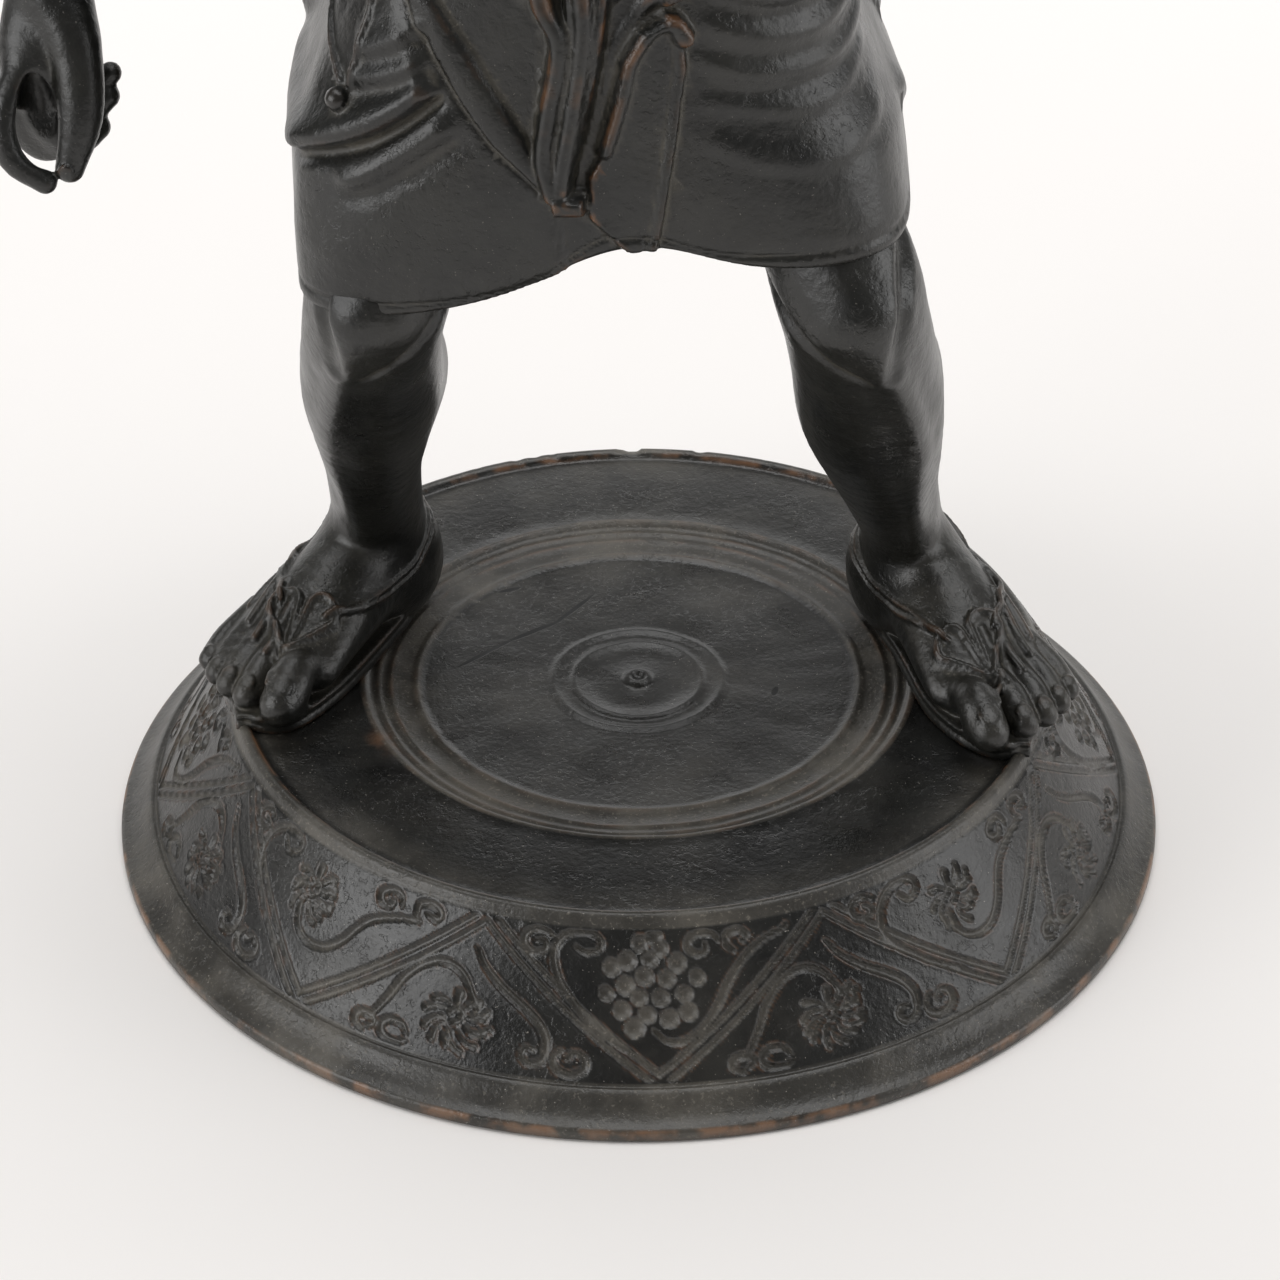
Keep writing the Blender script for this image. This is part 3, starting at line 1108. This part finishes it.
def make_mantle():
    clay = Clay((-68, -58, 133), (60, 50, 250), MANTLE_VOXEL)
    _, x, y, z = clay.window(clay.low, clay.low + HUGE)
    middle_x, middle_y, half_x, half_y, squareness = mantle_section(z)
    u, v = np.abs(x - middle_x) / half_x, np.abs(y - middle_y) / half_y
    level = (u**squareness + v**squareness) ** (1 / squareness)
    level = (level - 1) * np.minimum(half_x, half_y)
    slopes = np.gradient(level, clay.voxel)
    body = level / np.maximum(np.sqrt(slopes[0] ** 2 + slopes[1] ** 2), 0.3)
    angles, lengths = round_the_mantle()
    s = np.interp(np.arctan2(x - middle_x, middle_y - y), angles, lengths)
    skin = np.abs(body) < 9
    relief = np.zeros(body.shape, np.float32)
    relief[skin] = relief_map(s[skin], np.broadcast_to(z, body.shape)[skin])
    outer = body - relief - roll_relief(x, y, z)
    hem = hem_height(x)
    shell = -soft_min(-outer, z - hem, 1.6)
    inner = np.maximum(body + MANTLE_WALL, z - hem - HEM_HOLLOW)
    shell = np.maximum(shell, -inner)
    top = z - (WAIST_ROLL["z"] + WAIST_ROLL["lean"] * y + WAIST_ROLL["high"] * 0.8)
    clay.distance = np.maximum(shell, top).astype(np.float32)
    cords_and_bead(clay)
    knot(clay)
    return clay.mesh("figure_mantle", rubbed=rubbed_cloth)


def rubbed_cloth(points):
    """Copper shows on the sash and on the folded top of the flap, and hardly anywhere else."""
    x, y, z = points.T
    sash = bump(x, -10.5, 6) * (y < 0)
    flap = bump(x, 2, 7) * bump(z, 196, 8) * (y < 0)
    return np.clip(0.12 + 0.9 * sash + 0.9 * flap, 0, 1)


def cords_and_bead(clay):
    """Two thin cords on the overfold that meet in a round bead."""
    for route in CORDS:
        line = clay.snap([on_mantle(s, z, 3.0) for s, z in curve_through(route, 4)], 0.1)
        clay.add(strand(line, 0.75, 2), 0.4)
    bead = clay.snap([on_mantle(-42.1, 178.4, 4.0)], 1.0)[0]
    clay.add(Ball(bead, 2.2), 0.3)


def knot(clay):
    """The knot of the sash at the waist, with a loop on each side."""
    centre = clay.snap([on_mantle(-8, 218, 3.0)], 0.5)[0]
    clay.add(Ball(centre, (5.2, 4.2, 5.0)), 1.0)
    for way in (-1, 1):
        loop = centre + np.array([way * 7.4, 1.5, 1.5])
        clay.add(Ball(loop, (6.0, 3.0, 4.4), (0, way * 14, 0)), 1.0)
        clay.cut(Ball(loop + (way * 1.2, -2.8, 0), (3.0, 1.6, 1.9), (0, way * 14, 0)), 0.8)


# Trunk, arms, hands and head
TRUNK_STATIONS = [
    (-3.0, 0.0, 222, 38.5, 33.5), (-2.7, -3.5, 240, 39.8, 36.0), (-2.3, -3.5, 254, 39.3, 35.4),
    (-2.0, -0.5, 264, 38.0, 31.6), (-1.5, 4.0, 279, 39.4, 28.0), (-1.0, 8.0, 293, 43.2, 25.4),
    (-0.5, 11.0, 304, 43.0, 20.4), (-0.5, 11.5, 312, 34.0, 16.0), (-0.5, 10.0, 320, 20.0, 14.4),
    (-0.5, 8.5, 330, 14.2, 13.6), (-1.0, 5.0, 342, 13.2, 13.0),
]
ARM_JOINTS = {
    # shoulder, elbow and wrist
    "right": [(-42, 11, 299), (-77, 14, 248), (-101, -11, 191)],
    "left": [(41, 11, 306), (89, 14, 300), (97, -4, 362)],
}
UPPER_ARM = [
    # share of the way from the shoulder to the elbow, half width, half depth
    (-0.22, 10, 11), (-0.05, 13.2, 14), (0.18, 13.6, 14.2), (0.5, 11.4, 12.4), (0.85, 9.2, 9.6),
]
FOREARM = [(0.08, 9.0, 9.2), (0.3, 9.7, 9.4), (0.55, 8.6, 8.0), (0.8, 6.8, 6.2), (1.0, 6.2, 5.4)]
RIGHT_PALM = [(-101.8, -14, 184, 7.4, 6.2), (-103, -18, 177, 7.4, 5.6), (-103.6, -20.5, 171, 6.0, 4.6)]
RIGHT_FINGERS = [
    # each from its root to its tip: x, y, z, radius. The thumb comes first
    [(-98.6, -15, 186, 5.2), (-96.4, -21.5, 177.5, 4.6), (-96, -25.6, 168.5, 4), (-98, -28.4, 160, 2.6)],
    [(-105.2, -20, 177, 3.5), (-109, -26, 169.5, 2.3), (-108, -28.3, 162, 2.4), (-102.4, -28.8, 157.4, 2.1)],
    [(-104, -18, 173, 3.2), (-102.2, -18.6, 163, 2.8), (-98, -14.5, 157.6, 2.7), (-94.6, -11.4, 158.5, 2.3)],
    [(-103, -15.5, 174, 3), (-100.6, -15, 165, 2.7), (-96.4, -11.5, 161.6, 2.6), (-92.7, -9.8, 163.8, 2.2)],
    [(-102, -12.6, 176, 2.8), (-99.2, -11.4, 168.2, 2.5), (-95.4, -9, 165.4, 2.4), (-92.1, -8.4, 167.6, 2)],
]
KNUCKLES = (99, -7, 379)
HEAD_CENTRE = (-1.0, 1.0, 353.0)
BODY_VOXEL = 0.95
HEAD_VOXEL = 0.6
HAND_VOXEL = 0.5


def stack(stations, x, y, z):
    """Distance to a solid of elliptical sections that follow each other upwards."""
    table = curve_through(stations, 6)
    order = table[:, 2]
    cx, cy, hw, hd = (np.interp(z, order, table[:, k]).astype(np.float32) for k in (0, 1, 3, 4))
    side = ellipse_distance((x - cx, hw), (y - cy, hd))
    return np.maximum(side * 0.9, np.maximum(z - order[-1], order[0] - z))


def arm_joints(side):
    return np.array(ARM_JOINTS[side], float)


def arm_bones(side):
    """Upper arm and forearm as one run of sections from the shoulder to the wrist."""
    shoulder, elbow, wrist = arm_joints(side)
    stations = [(*(shoulder + (elbow - shoulder) * share), w, d) for share, w, d in UPPER_ARM]
    stations += [(*(elbow + (wrist - elbow) * share), w, d) for share, w, d in FOREARM]
    return limb(stations, front=(0, -1, 0.15))


def make_body():
    clay = Clay((-112, -42, 176), (111, 50, 372), BODY_VOXEL)
    part, x, y, z = clay.window((-52, -44, 218), (52, 50, 346))
    clay.distance[part] = stack(TRUNK_STATIONS, x, y, z)
    for side in ("right", "left"):
        clay.add(arm_bones(side), 9)
    chest(clay)
    for side in ("right", "left"):
        arm_muscles(clay, side)
    return clay.mesh("figure_trunk")


def chest(clay):
    for way in (-1, 1):
        clay.add(Ball((-1 + way * 18, -10, 291), (18.5, 9.3, 12.5), (0, way * 8, 0)), 5)
        clay.add(Ball((-1 + way * 20, -20.2, 286.5), (1.7, 1.2, 1.7)), 0.8)
        clay.add(strand([(way * 4, -7, 311), (way * 18, -7.5, 313), (way * 33, 0, 314)], 2.4), 4)
        clay.add(Ball((-1 + way * 21, 22, 288), (15, 9, 17), (-10, 0, way * -18)), 6)
        clay.cut(strand([(way * 8, -42, 262), (way * 22, -37, 268), (way * 33, -24, 272)], 1.0), 3)
        clay.add(Ball((-1 + way * 15, -2, 322), (10, 9, 12), (0, way * 32, 0)), 8)
    clay.add(Ball((-2.4, -13.5, 251), (31, 24.5, 19)), 8)
    clay.cut(Ball((-2.4, -38.6, 252.5), (2.2, 3.0, 2.6)), 1.6)
    clay.cut(strand([(-1, -20.5, 302), (-1, -24, 290), (-1.4, -31, 276)], [1.2, 1.5, 1.0]), 3)
    clay.cut(strand([(-1, 31, 306), (-1, 35, 284), (-1.6, 33.5, 262), (-2, 36, 246)], 1.5), 5)
    for way in (-1, 1):
        clay.cut(strand([(way * 36, -18, 262), (way * 40, -2, 258), (way * 38, 18, 261)], 0.8), 3)


def arm_muscles(clay, side):
    shoulder, elbow, wrist = arm_joints(side)
    out = 1 if side == "left" else -1
    upper = elbow - shoulder
    slant = math.degrees(math.atan2(-upper[2], out * upper[0])) * out
    clay.add(Ball(shoulder + (out * 3, -1, 3), (12.5, 14.5, 12.5), (0, slant, 0)), 6)
    middle = shoulder + upper * 0.52
    clay.add(Ball(middle + (0, -6.2, 2), (15, 6.6, 8), (0, slant, 0)), 5)
    clay.add(Ball(middle + (0, 6.5, -1), (15, 6.4, 8), (0, slant, 0)), 5)
    clay.add(Ball(elbow + (out * 1.5, 6.0, -2), (5.5, 5, 6)), 4)
    fore = elbow + (wrist - elbow) * 0.3
    clay.add(Ball(fore + (out * 3.6, -1, 0), (5.8, 6.4, 15)), 5)


def make_right_hand():
    """The lowered hand: thumb straight down, forefinger curling in to meet it, the others bent behind."""
    clay = Clay((-112, -32, 152), (-84, 2, 208), HAND_VOXEL)
    _, elbow, wrist = arm_joints("right")
    cuff = [(*(elbow + (wrist - elbow) * 0.8), 6.8, 6.2), (*(wrist + (0, 0, 3)), 6.4, 5.6)]
    clay.add(limb(cuff + RIGHT_PALM))
    for finger in RIGHT_FINGERS:
        clay.add(strand([row[:3] for row in finger], [row[3] for row in finger], 4), 1.1)
    clay.add(strand([(-101, -16.5, 188), (-97.4, -20, 181)], [4.6, 3.8]), 2.5)
    clay.add(Ball((-103.2, -16.4, 166.2), (7.2, 3.4, 11.6)), 2.0)
    clay.cut(Ball((-103.4, -24.5, 167.5), (3.4, 5.0, 8.6), (-14, -4, 0)), 1.4)
    clay.add(Ball((-98.6, -30.6, 160.4), (1.5, 0.5, 1.9), (20, 24, 0)), 0.3)
    return clay.mesh("figure_hand_right")


def make_left_hand():
    """The raised hand, open, palm to the front."""
    clay = Clay((76, -28, 352), (112, 14, 398.5), HAND_VOXEL)
    _, elbow, wrist = arm_joints("left")
    knuckles = np.array(KNUCKLES, float)
    palm = [
        (*(elbow + (wrist - elbow) * 0.82), 6.8, 6.2), (*(wrist + (0, 0, -1)), 6.3, 5.4),
        (*(wrist + (1, -1, 8)), 8.2, 5.2), (*knuckles, 8.8, 3.8),
    ]
    clay.add(limb(palm))
    for number, length in enumerate((15, 17, 15.5, 12)):
        spread = number - 1.5
        root = knuckles + (spread * 4.3, 0, -1 - abs(spread))
        joint = root + (spread * 0.9, -1.2, length * 0.5)
        tip = joint + (spread * 0.4, -3.6, length * 0.42)
        clay.add(strand([root, joint, tip], [3.1, 2.8, 2.3], 4), 0.9)
        clay.cut(strand([joint + (-2.4, -3.2, 0), joint + (2.4, -3.2, 0)], 0.4), 0.6)
    thumb = [wrist + (-4, -3, 5), wrist + (-10.5, -7, 11), wrist + (-12.6, -9.4, 20)]
    clay.add(strand(thumb, [4.2, 3.4, 2.6], 4), 2.0)
    clay.add(Ball(wrist + (-3.4, -5.2, 9), (5.0, 3.0, 6.5), (0, -22, 0)), 2.5)
    clay.cut(strand([wrist + (-3, -8.2, 15), wrist + (1, -7.8, 12), wrist + (5, -6.8, 12)], 0.5), 1.0)
    return clay.mesh("figure_hand_left")


BEARD_ROWS = [
    # curls in the row, spread in radians, height, radius of the row, size
    (9, 1.72, -7.0, 17.2, 3.0), (9, 1.5, -12.5, 17.4, 3.3), (7, 1.12, -18.5, 16.8, 3.4),
    (6, 0.85, -24.5, 15.0, 3.3), (5, 0.6, -30.0, 12.8, 3.1), (3, 0.36, -34.6, 10.6, 2.8),
]


def curl(clay, centre, outward, size, turn):
    """A small spiral lock of hair that stands out from the head."""
    outward = unit(np.array(outward, float))
    side = unit(np.cross(outward, (0, 0, 1)))
    up = np.cross(side, outward)
    points = []
    for step in range(7):
        angle = turn + step * 0.95
        reach = size * (1.0 - 0.12 * step)
        round_middle = side * math.cos(angle) + up * math.sin(angle)
        points.append(centre + round_middle * reach + outward * 0.25 * step)
    clay.add(strand(points, np.linspace(0.42, 0.3, 7) * size, 2), 0.5)


def make_head():
    clay = Clay((-32, -36, 312), (31, 36, 398), HEAD_VOXEL)
    centre = np.array(HEAD_CENTRE)

    def at(x, y, z):
        return centre + np.array([x, y, z], float)

    clay.add(limb([(-0.5, 9.5, 316, 16, 14), (-0.5, 8.5, 330, 14.0, 13.4), (-1, 6, 343, 13.4, 13.2)]))
    clay.add(Ball(at(0, 4, 7), (19.3, 22.6, 20.3)), 2)
    clay.add(Ball(at(0, -4, -6), (15.6, 16.6, 18.4)), 5)
    for way in (-1, 1):
        cheek_and_eye(clay, at, way)
        ear(clay, at, way)
    clay.add(strand([at(0, -18.6, 5), at(0, -21.4, -1), at(0, -23.2, -5.2)], [2.2, 2.5, 3.0]), 1.8)
    for way in (-1, 1):
        nostril_and_moustache(clay, at, way)
    # lower lip, the line of the mouth and two lines across the brow
    clay.add(Ball(at(0, -18.6, -14.2), (4.6, 2.2, 1.6)), 0.8)
    clay.cut(Ball(at(0, -21.0, -12.6), (4.4, 1.4, 0.6)), 0.6)
    for rise in (11.5, 14.5):
        clay.cut(strand([at(-8, -18.6, rise), at(0, -20.2, rise + 1.2), at(8, -18.6, rise)], 0.35), 1.0)
    clay.add(Ball(at(0, -10.5, -19), (13.6, 11, 14)), 3)
    made = beard(clay, at)
    hair(clay, at, made)
    wreath(clay, at)
    return clay.mesh("figure_head")


def cheek_and_eye(clay, at, way):
    """The cheek, the eye in its hollow with both lids, and the brow."""
    clay.add(Ball(at(way * 8.6, -14.5, -4.2), (6.0, 5.0, 5.2)), 3)
    clay.cut(Ball(at(way * 7.2, -19.4, 3.0), (4.6, 3.4, 3.0)), 2.5)
    clay.add(Ball(at(way * 7.2, -16.2, 2.6), (3.5, 2.6, 2.5)), 0.5)
    for rise, lid in ((1.3, 0.75), (-1.6, 0.6)):
        middle = at(way * 7.2, -18.7, 2.6 + rise)
        corners = [middle + (way * side * 3.4, 0.9, -0.8 * rise) for side in (-1, 1)]
        clay.add(strand([corners[0], middle, corners[1]], lid), 0.5)
    brow = [at(way * 2.6, -19.6, 6.3), at(way * 7.6, -19.6, 8.6), at(way * 13, -15.4, 6.4)]
    clay.add(strand(brow, [1.5, 2.0, 1.2]), 2)


def nostril_and_moustache(clay, at, way):
    clay.add(Ball(at(way * 3.1, -20.6, -5.6), (2.3, 2.6, 2.1)), 1.0)
    clay.cut(Ball(at(way * 1.9, -22.4, -8.4), (1.0, 1.2, 0.9)), 0.5)
    moustache = [at(way * 1.0, -21.0, -10.0), at(way * 6.4, -19.8, -12.0), at(way * 11.4, -15.4, -17.0)]
    clay.add(strand(moustache, [1.6, 2.1, 1.1]), 1.0)


def beard(clay, at):
    """Rows of curls below the cheeks, open round the mouth. Returns how many there are."""
    made = 0
    for count, spread, height, radius, size in BEARD_ROWS:
        for k in range(count):
            angle = spread * (2 * k / (count - 1) - 1)
            if height > -14 and abs(angle) < 0.62:
                continue
            outward = (math.sin(angle), -math.cos(angle), -0.15)
            place = at(radius * math.sin(angle), -6 - radius * math.cos(angle), height)
            curl(clay, clay.snap([place], 0.6)[0], outward, size, made * 1.9)
            made += 1
    return made


def hair(clay, at, made):
    """Three rows of curls round the back of the head. Each is turned by the number made before it."""
    for row, height in enumerate((0.5, -6.5, -13)):
        for k in range(9 - row):
            angle = math.pi + 1.15 * (2 * k / (8 - row) - 1)
            outward = (math.sin(angle), -math.cos(angle), 0)
            place = at(19 * math.sin(angle), 4 - 22 * math.cos(angle), height)
            curl(clay, clay.snap([place], 0.4)[0], outward, 3.3, made * 2.3)
            made += 1


def ear(clay, at, way):
    """A pointed ear lying back against the head."""
    clay.add(Ball(at(way * 19.4, 3.5, -1), (2.6, 4.2, 6.0), (18, 0, 0)), 1.2)
    clay.cut(Ball(at(way * 21.6, 2.6, -0.6), (1.6, 2.4, 3.8), (18, 0, 0)), 0.8)
    clay.add(Ball(at(way * 19.2, 1.0, -6.2), (1.8, 2.2, 2.2)), 1.0)


WREATH_LEAVES = 12
WREATH_BERRIES = [
    # across and up from the middle of the head
    (0, 18.5), (4, 16), (-4, 16), (0, 13.4), (7.4, 18.6), (-7.4, 18.6), (9.6, 14.6), (-9.6, 14.6),
]


def wreath(clay, at):
    """Ivy round the head: a twisted stem, leaves of three lobes with a vein, and berries over the brow."""
    ring = []
    for turn in np.linspace(0, TAU, 25):
        ring.append(at(19.9 * math.sin(turn), 4 - 22.6 * math.cos(turn), 12.4 + 0.7 * math.sin(6 * turn)))
    clay.add(strand(ring, 1.25, 2), 0.5)
    for k in range(WREATH_LEAVES):
        turn = TAU * k / WREATH_LEAVES
        rise, tilt = (2.6, 26) if k % 2 else (-1.4, -26)
        place = at(20.6 * math.sin(turn), 4 - 23.2 * math.cos(turn), 12.5 + rise)
        heading = math.degrees(turn)
        along = np.array([math.cos(turn), math.sin(turn), 0])
        outward = np.array([math.sin(turn), -math.cos(turn), 0])
        clay.add(Ball(place, (6.6, 1.5, 3.0), (0, tilt, heading)), 0.5)
        for way in (-1, 1):
            lobe = place - along * 2.0 + (0, 0, way * 2.6)
            clay.add(Ball(lobe, (3.4, 1.4, 2.4), (0, tilt + way * 38, heading)), 0.5)
        slope = along - (0, 0, math.tan(math.radians(tilt)))
        vein = clay.snap([place + slope * step + outward for step in (-4, 0, 4.6)], 0.1)
        clay.cut(strand(vein, 0.35), 0.4)
    for x, z in WREATH_BERRIES:
        clay.add(Ball(clay.snap([at(x, -21, z)], 1.0)[0], 2.2), 0.3)


# Materials
class Nodes:
    """The nodes of one material, with short ways to make and join them."""

    def __init__(self, name):
        self.material = bpy.data.materials.new(name)
        self.material.use_nodes = True
        self.tree = self.material.node_tree
        self.tree.nodes.clear()

    def node(self, kind, inputs, **settings):
        """A new node. Each input is a number, a colour, a vector or the output of another node."""
        node = self.tree.nodes.new(kind)
        for setting, value in settings.items():
            setattr(node, setting, value)
        for socket, value in inputs.items():
            if isinstance(value, bpy.types.NodeSocket):
                self.tree.links.new(value, node.inputs[socket])
            else:
                node.inputs[socket].default_value = value
        return node

    def place(self):
        return self.node("ShaderNodeNewGeometry", {}).outputs["Position"]

    def noise(self, scale, detail, rough=0.5):
        inputs = {"Vector": self.place(), "Scale": scale, "Detail": detail, "Roughness": rough}
        return self.node("ShaderNodeTexNoise", inputs).outputs["Fac"]

    def ramp(self, value, low, high):
        inputs = {"Value": value, "From Min": low, "From Max": high}
        return self.node("ShaderNodeMapRange", inputs, interpolation_type="SMOOTHSTEP").outputs["Result"]

    def combine(self, kind, a, b):
        return self.node("ShaderNodeMath", {0: a, 1: b}, operation=kind, use_clamp=True).outputs[0]

    def mix(self, factor, a, b):
        a, b = ((*value, 1) if isinstance(value, tuple) else value for value in (a, b))
        inputs = {"Factor": factor, "A": a, "B": b}
        return self.node("ShaderNodeMix", inputs, data_type="RGBA").outputs["Result"]

    def attribute(self, layer):
        return self.node("ShaderNodeAttribute", {}, attribute_name=layer).outputs["Fac"]

    def scratch(self, x, y, turn, half_length, half_width):
        """One where a stroke across a level face is deepest, and zero outside it."""
        inputs = {
            "Vector": self.place(), "Location": (x * MM, y * MM, 0), "Rotation": (0, 0, math.radians(turn)),
            "Scale": (half_length * MM, half_width * MM, 1),
        }
        frame = self.node("ShaderNodeMapping", inputs, vector_type="TEXTURE").outputs["Vector"]
        near = self.node("ShaderNodeTexGradient", {"Vector": frame}, gradient_type="SPHERICAL")
        return self.ramp(near.outputs["Fac"], 0.0, 0.45)

    def surface(self, inputs):
        """Finishes the material with one shader."""
        shader = self.node("ShaderNodeBsdfPrincipled", inputs)
        self.node("ShaderNodeOutputMaterial", {"Surface": shader.outputs[0]})
        return self.material


SCRATCHES = [
    # the long crack in the disc, three strokes in a bent row, and two short nicks
    # x, y, degrees, half length, half width
    (-29.2, 9.0, 42, 9.0, 0.62), (-20.0, 16.4, 35, 7.4, 0.72), (-12.4, 23.8, 53, 7.6, 0.6),
    (-25.0, 30.5, 20, 2.8, 0.7), (26.0, -4.0, 75, 1.8, 0.7),
]
GRAIN_COLOUR = (0.3, 0.28, 0.25)
BRONZES = {
    "base_bronze": {
        "dark": (0.0028, 0.0029, 0.0026), "pale": (0.010, 0.0102, 0.009), "copper": (0.24, 0.12, 0.06),
        "dust_colour": (0.175, 0.158, 0.13), "roughness": 0.29, "grain": 0.75, "unevenness": 0.14,
        "scratches": SCRATCHES,
    },
    "figure_bronze": {
        "dark": (0.003, 0.0033, 0.0027), "pale": (0.0105, 0.0107, 0.009), "copper": (0.2, 0.09, 0.035),
        "dust_colour": (0.1, 0.09, 0.07), "roughness": 0.32, "grain": 0.3, "unevenness": 0.3,
        "scratches": [],
    },
}


def bronze(name, dark, pale, copper, dust_colour, roughness, grain, unevenness, scratches):
    """Dark patina with soft paler clouds, copper on worn places and pale dust in low places."""
    n = Nodes(name)
    film = n.ramp(n.noise(42, 5, 0.62), 0.42, 0.72)
    specks = n.ramp(n.noise(1300, 2, 0.6), 0.58, 0.72)
    coat = n.combine("ADD", n.combine("MULTIPLY", film, 0.45), 0.2)
    coat = n.combine("ADD", n.combine("MULTIPLY", specks, 0.5), coat)
    grime = n.combine("MULTIPLY", n.attribute("dust"), coat)
    grime = n.combine("ADD", grime, n.combine("MULTIPLY", film, 0.07))
    colour = n.mix(grime, patina(n, dark, pale, copper), dust_colour)
    grains = n.combine("MULTIPLY", n.ramp(n.noise(2300, 1), 0.735, 0.78), grain)
    colour = n.mix(grains, colour, GRAIN_COLOUR)
    height = n.noise(900, 4, 0.6)
    for stroke in scratches:
        depth = n.scratch(*stroke)
        colour = n.mix(depth, colour, tuple(c * 0.2 for c in dark))
        grime = n.combine("ADD", grime, n.combine("MULTIPLY", depth, 2.0))
        height = n.combine("SUBTRACT", height, depth)
    gloss = n.combine("ADD", n.combine("MULTIPLY", n.noise(90, 5), 0.28), roughness - 0.14)
    gloss = n.combine("ADD", gloss, n.combine("MULTIPLY", grime, 0.35))
    return n.surface({
        "Metallic": 0.0, "IOR": 1.55, "Specular IOR Level": 0.5, "Base Color": colour, "Roughness": gloss,
        "Normal": cast_skin(n, height, unevenness),
    })


def patina(n, dark, pale, copper):
    """Soft paler clouds and fine streaks on the dark, and copper in patches where the attribute wear is."""
    clouds = n.ramp(n.noise(60, 4), 0.35, 0.7)
    streaks = n.ramp(n.noise(420, 3), 0.45, 0.75)
    patches = n.ramp(n.noise(150, 3), 0.42, 0.62)
    colour = n.mix(clouds, dark, pale)
    colour = n.mix(n.combine("MULTIPLY", streaks, 0.35), colour, tuple(c * 1.6 for c in pale))
    worn = n.combine("MULTIPLY", n.attribute("wear"), patches)
    return n.mix(n.combine("MULTIPLY", worn, 0.75), colour, copper)


def cast_skin(n, height, unevenness):
    """The normal of a cast surface: a fine roughness with pits in patches, over a broad unevenness."""
    pits = n.combine("MULTIPLY", n.ramp(n.noise(620, 3, 0.6), 0.54, 0.68), n.ramp(n.noise(48, 2), 0.42, 0.6))
    rough = n.combine("SUBTRACT", height, pits)
    fine = n.node("ShaderNodeBump", {"Strength": 0.3, "Distance": 0.0004, "Height": rough})
    broad = {"Strength": unevenness, "Distance": 0.0012, "Height": n.noise(170, 3)}
    broad["Normal"] = fine.outputs["Normal"]
    return n.node("ShaderNodeBump", broad).outputs["Normal"]


def paper(name):
    return Nodes(name).surface({
        "Base Color": (0.9, 0.875, 0.855, 1), "Roughness": 0.95, "Specular IOR Level": 0.1,
    })


# Stage, light and camera, in metres
FLOOR_HALF = 6.0
FLOOR_DROP = 0.0002
AIM = (0, 0, 0.12)
SOFTBOXES = {
    # place, where it points, width and height, power
    "left_softbox": ((-1.5, -0.8, 0.66), AIM, (1.3, 1.0), 15.0),
    "right_softbox": ((1.7, -0.25, 0.55), AIM, (1.1, 1.1), 9.5),
    "overhead_softbox": ((0.05, 0.25, 2.1), AIM, (2.3, 1.9), 36.0),
    "back_softbox": ((0.0, 0.66, 0.2), (0, 0, 0.2), (1.9, 0.36), 1.9),
}


def make_floor():
    corners = [(FLOOR_HALF * x, FLOOR_HALF * y, 0) for x, y in ((-1, -1), (1, -1), (1, 1), (-1, 1))]
    mesh = bpy.data.meshes.new("floor")
    mesh.from_pydata(corners, [], [(0, 1, 2, 3)])
    floor = link(bpy.data.objects.new("floor", mesh))
    floor.location.z = -FLOOR_DROP
    floor.data.materials.append(paper("floor_paper"))


def area_light(name, place, target, size, power):
    data = bpy.data.lights.new(name, "AREA")
    data.shape = "RECTANGLE"
    data.size, data.size_y = size
    data.energy = power
    light = link(bpy.data.objects.new(name, data))
    light.location = place
    light.rotation_euler = (Vector(target) - Vector(place)).to_track_quat("-Z", "Y").to_euler()


def make_lights():
    world = bpy.data.worlds.new("studio")
    world.use_nodes = True
    background = world.node_tree.nodes["Background"]
    background.inputs["Color"].default_value = (1.0, 0.985, 0.975, 1)
    background.inputs["Strength"].default_value = 0.2
    bpy.context.scene.world = world
    for name, light in SOFTBOXES.items():
        area_light(name, *light)


def make_camera():
    data = bpy.data.cameras.new("camera")
    data.sensor_width = SENSOR_MM
    data.lens = FOCAL_PIXELS * SENSOR_MM / FRAME_PIXELS
    camera = link(bpy.data.objects.new("camera", data))
    forward = Vector((
        math.sin(CAMERA_YAW) * math.cos(CAMERA_PITCH),
        math.cos(CAMERA_YAW) * math.cos(CAMERA_PITCH),
        -math.sin(CAMERA_PITCH),
    ))
    level = forward.cross(Vector((0, 0, 1))).normalized()
    upright = level.cross(forward)
    right = level * math.cos(CAMERA_ROLL) + upright * math.sin(CAMERA_ROLL)
    up = upright * math.cos(CAMERA_ROLL) - level * math.sin(CAMERA_ROLL)
    turn = Matrix((right, up, -forward)).transposed()
    camera.matrix_world = Matrix.Translation(Vector(CAMERA_PLACE) * MM) @ turn.to_4x4()
    bpy.context.scene.camera = camera
    bpy.context.scene.view_settings.view_transform = "Standard"


def put(piece, node, material):
    piece.data.materials.append(material)
    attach(piece, "root")
    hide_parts(node)


def main():
    make_camera()
    make_lights()
    make_floor()
    looks = {name: bronze(name, **numbers) for name, numbers in BRONZES.items()}
    put(make_base(), "base", looks["base_bronze"])
    pieces = [make_leg("right"), make_leg("left"), make_mantle(), make_body(), make_head()]
    pieces += [make_right_hand(), make_left_hand()]
    for piece in pieces:
        put(piece, "figure", looks["figure_bronze"])


main()
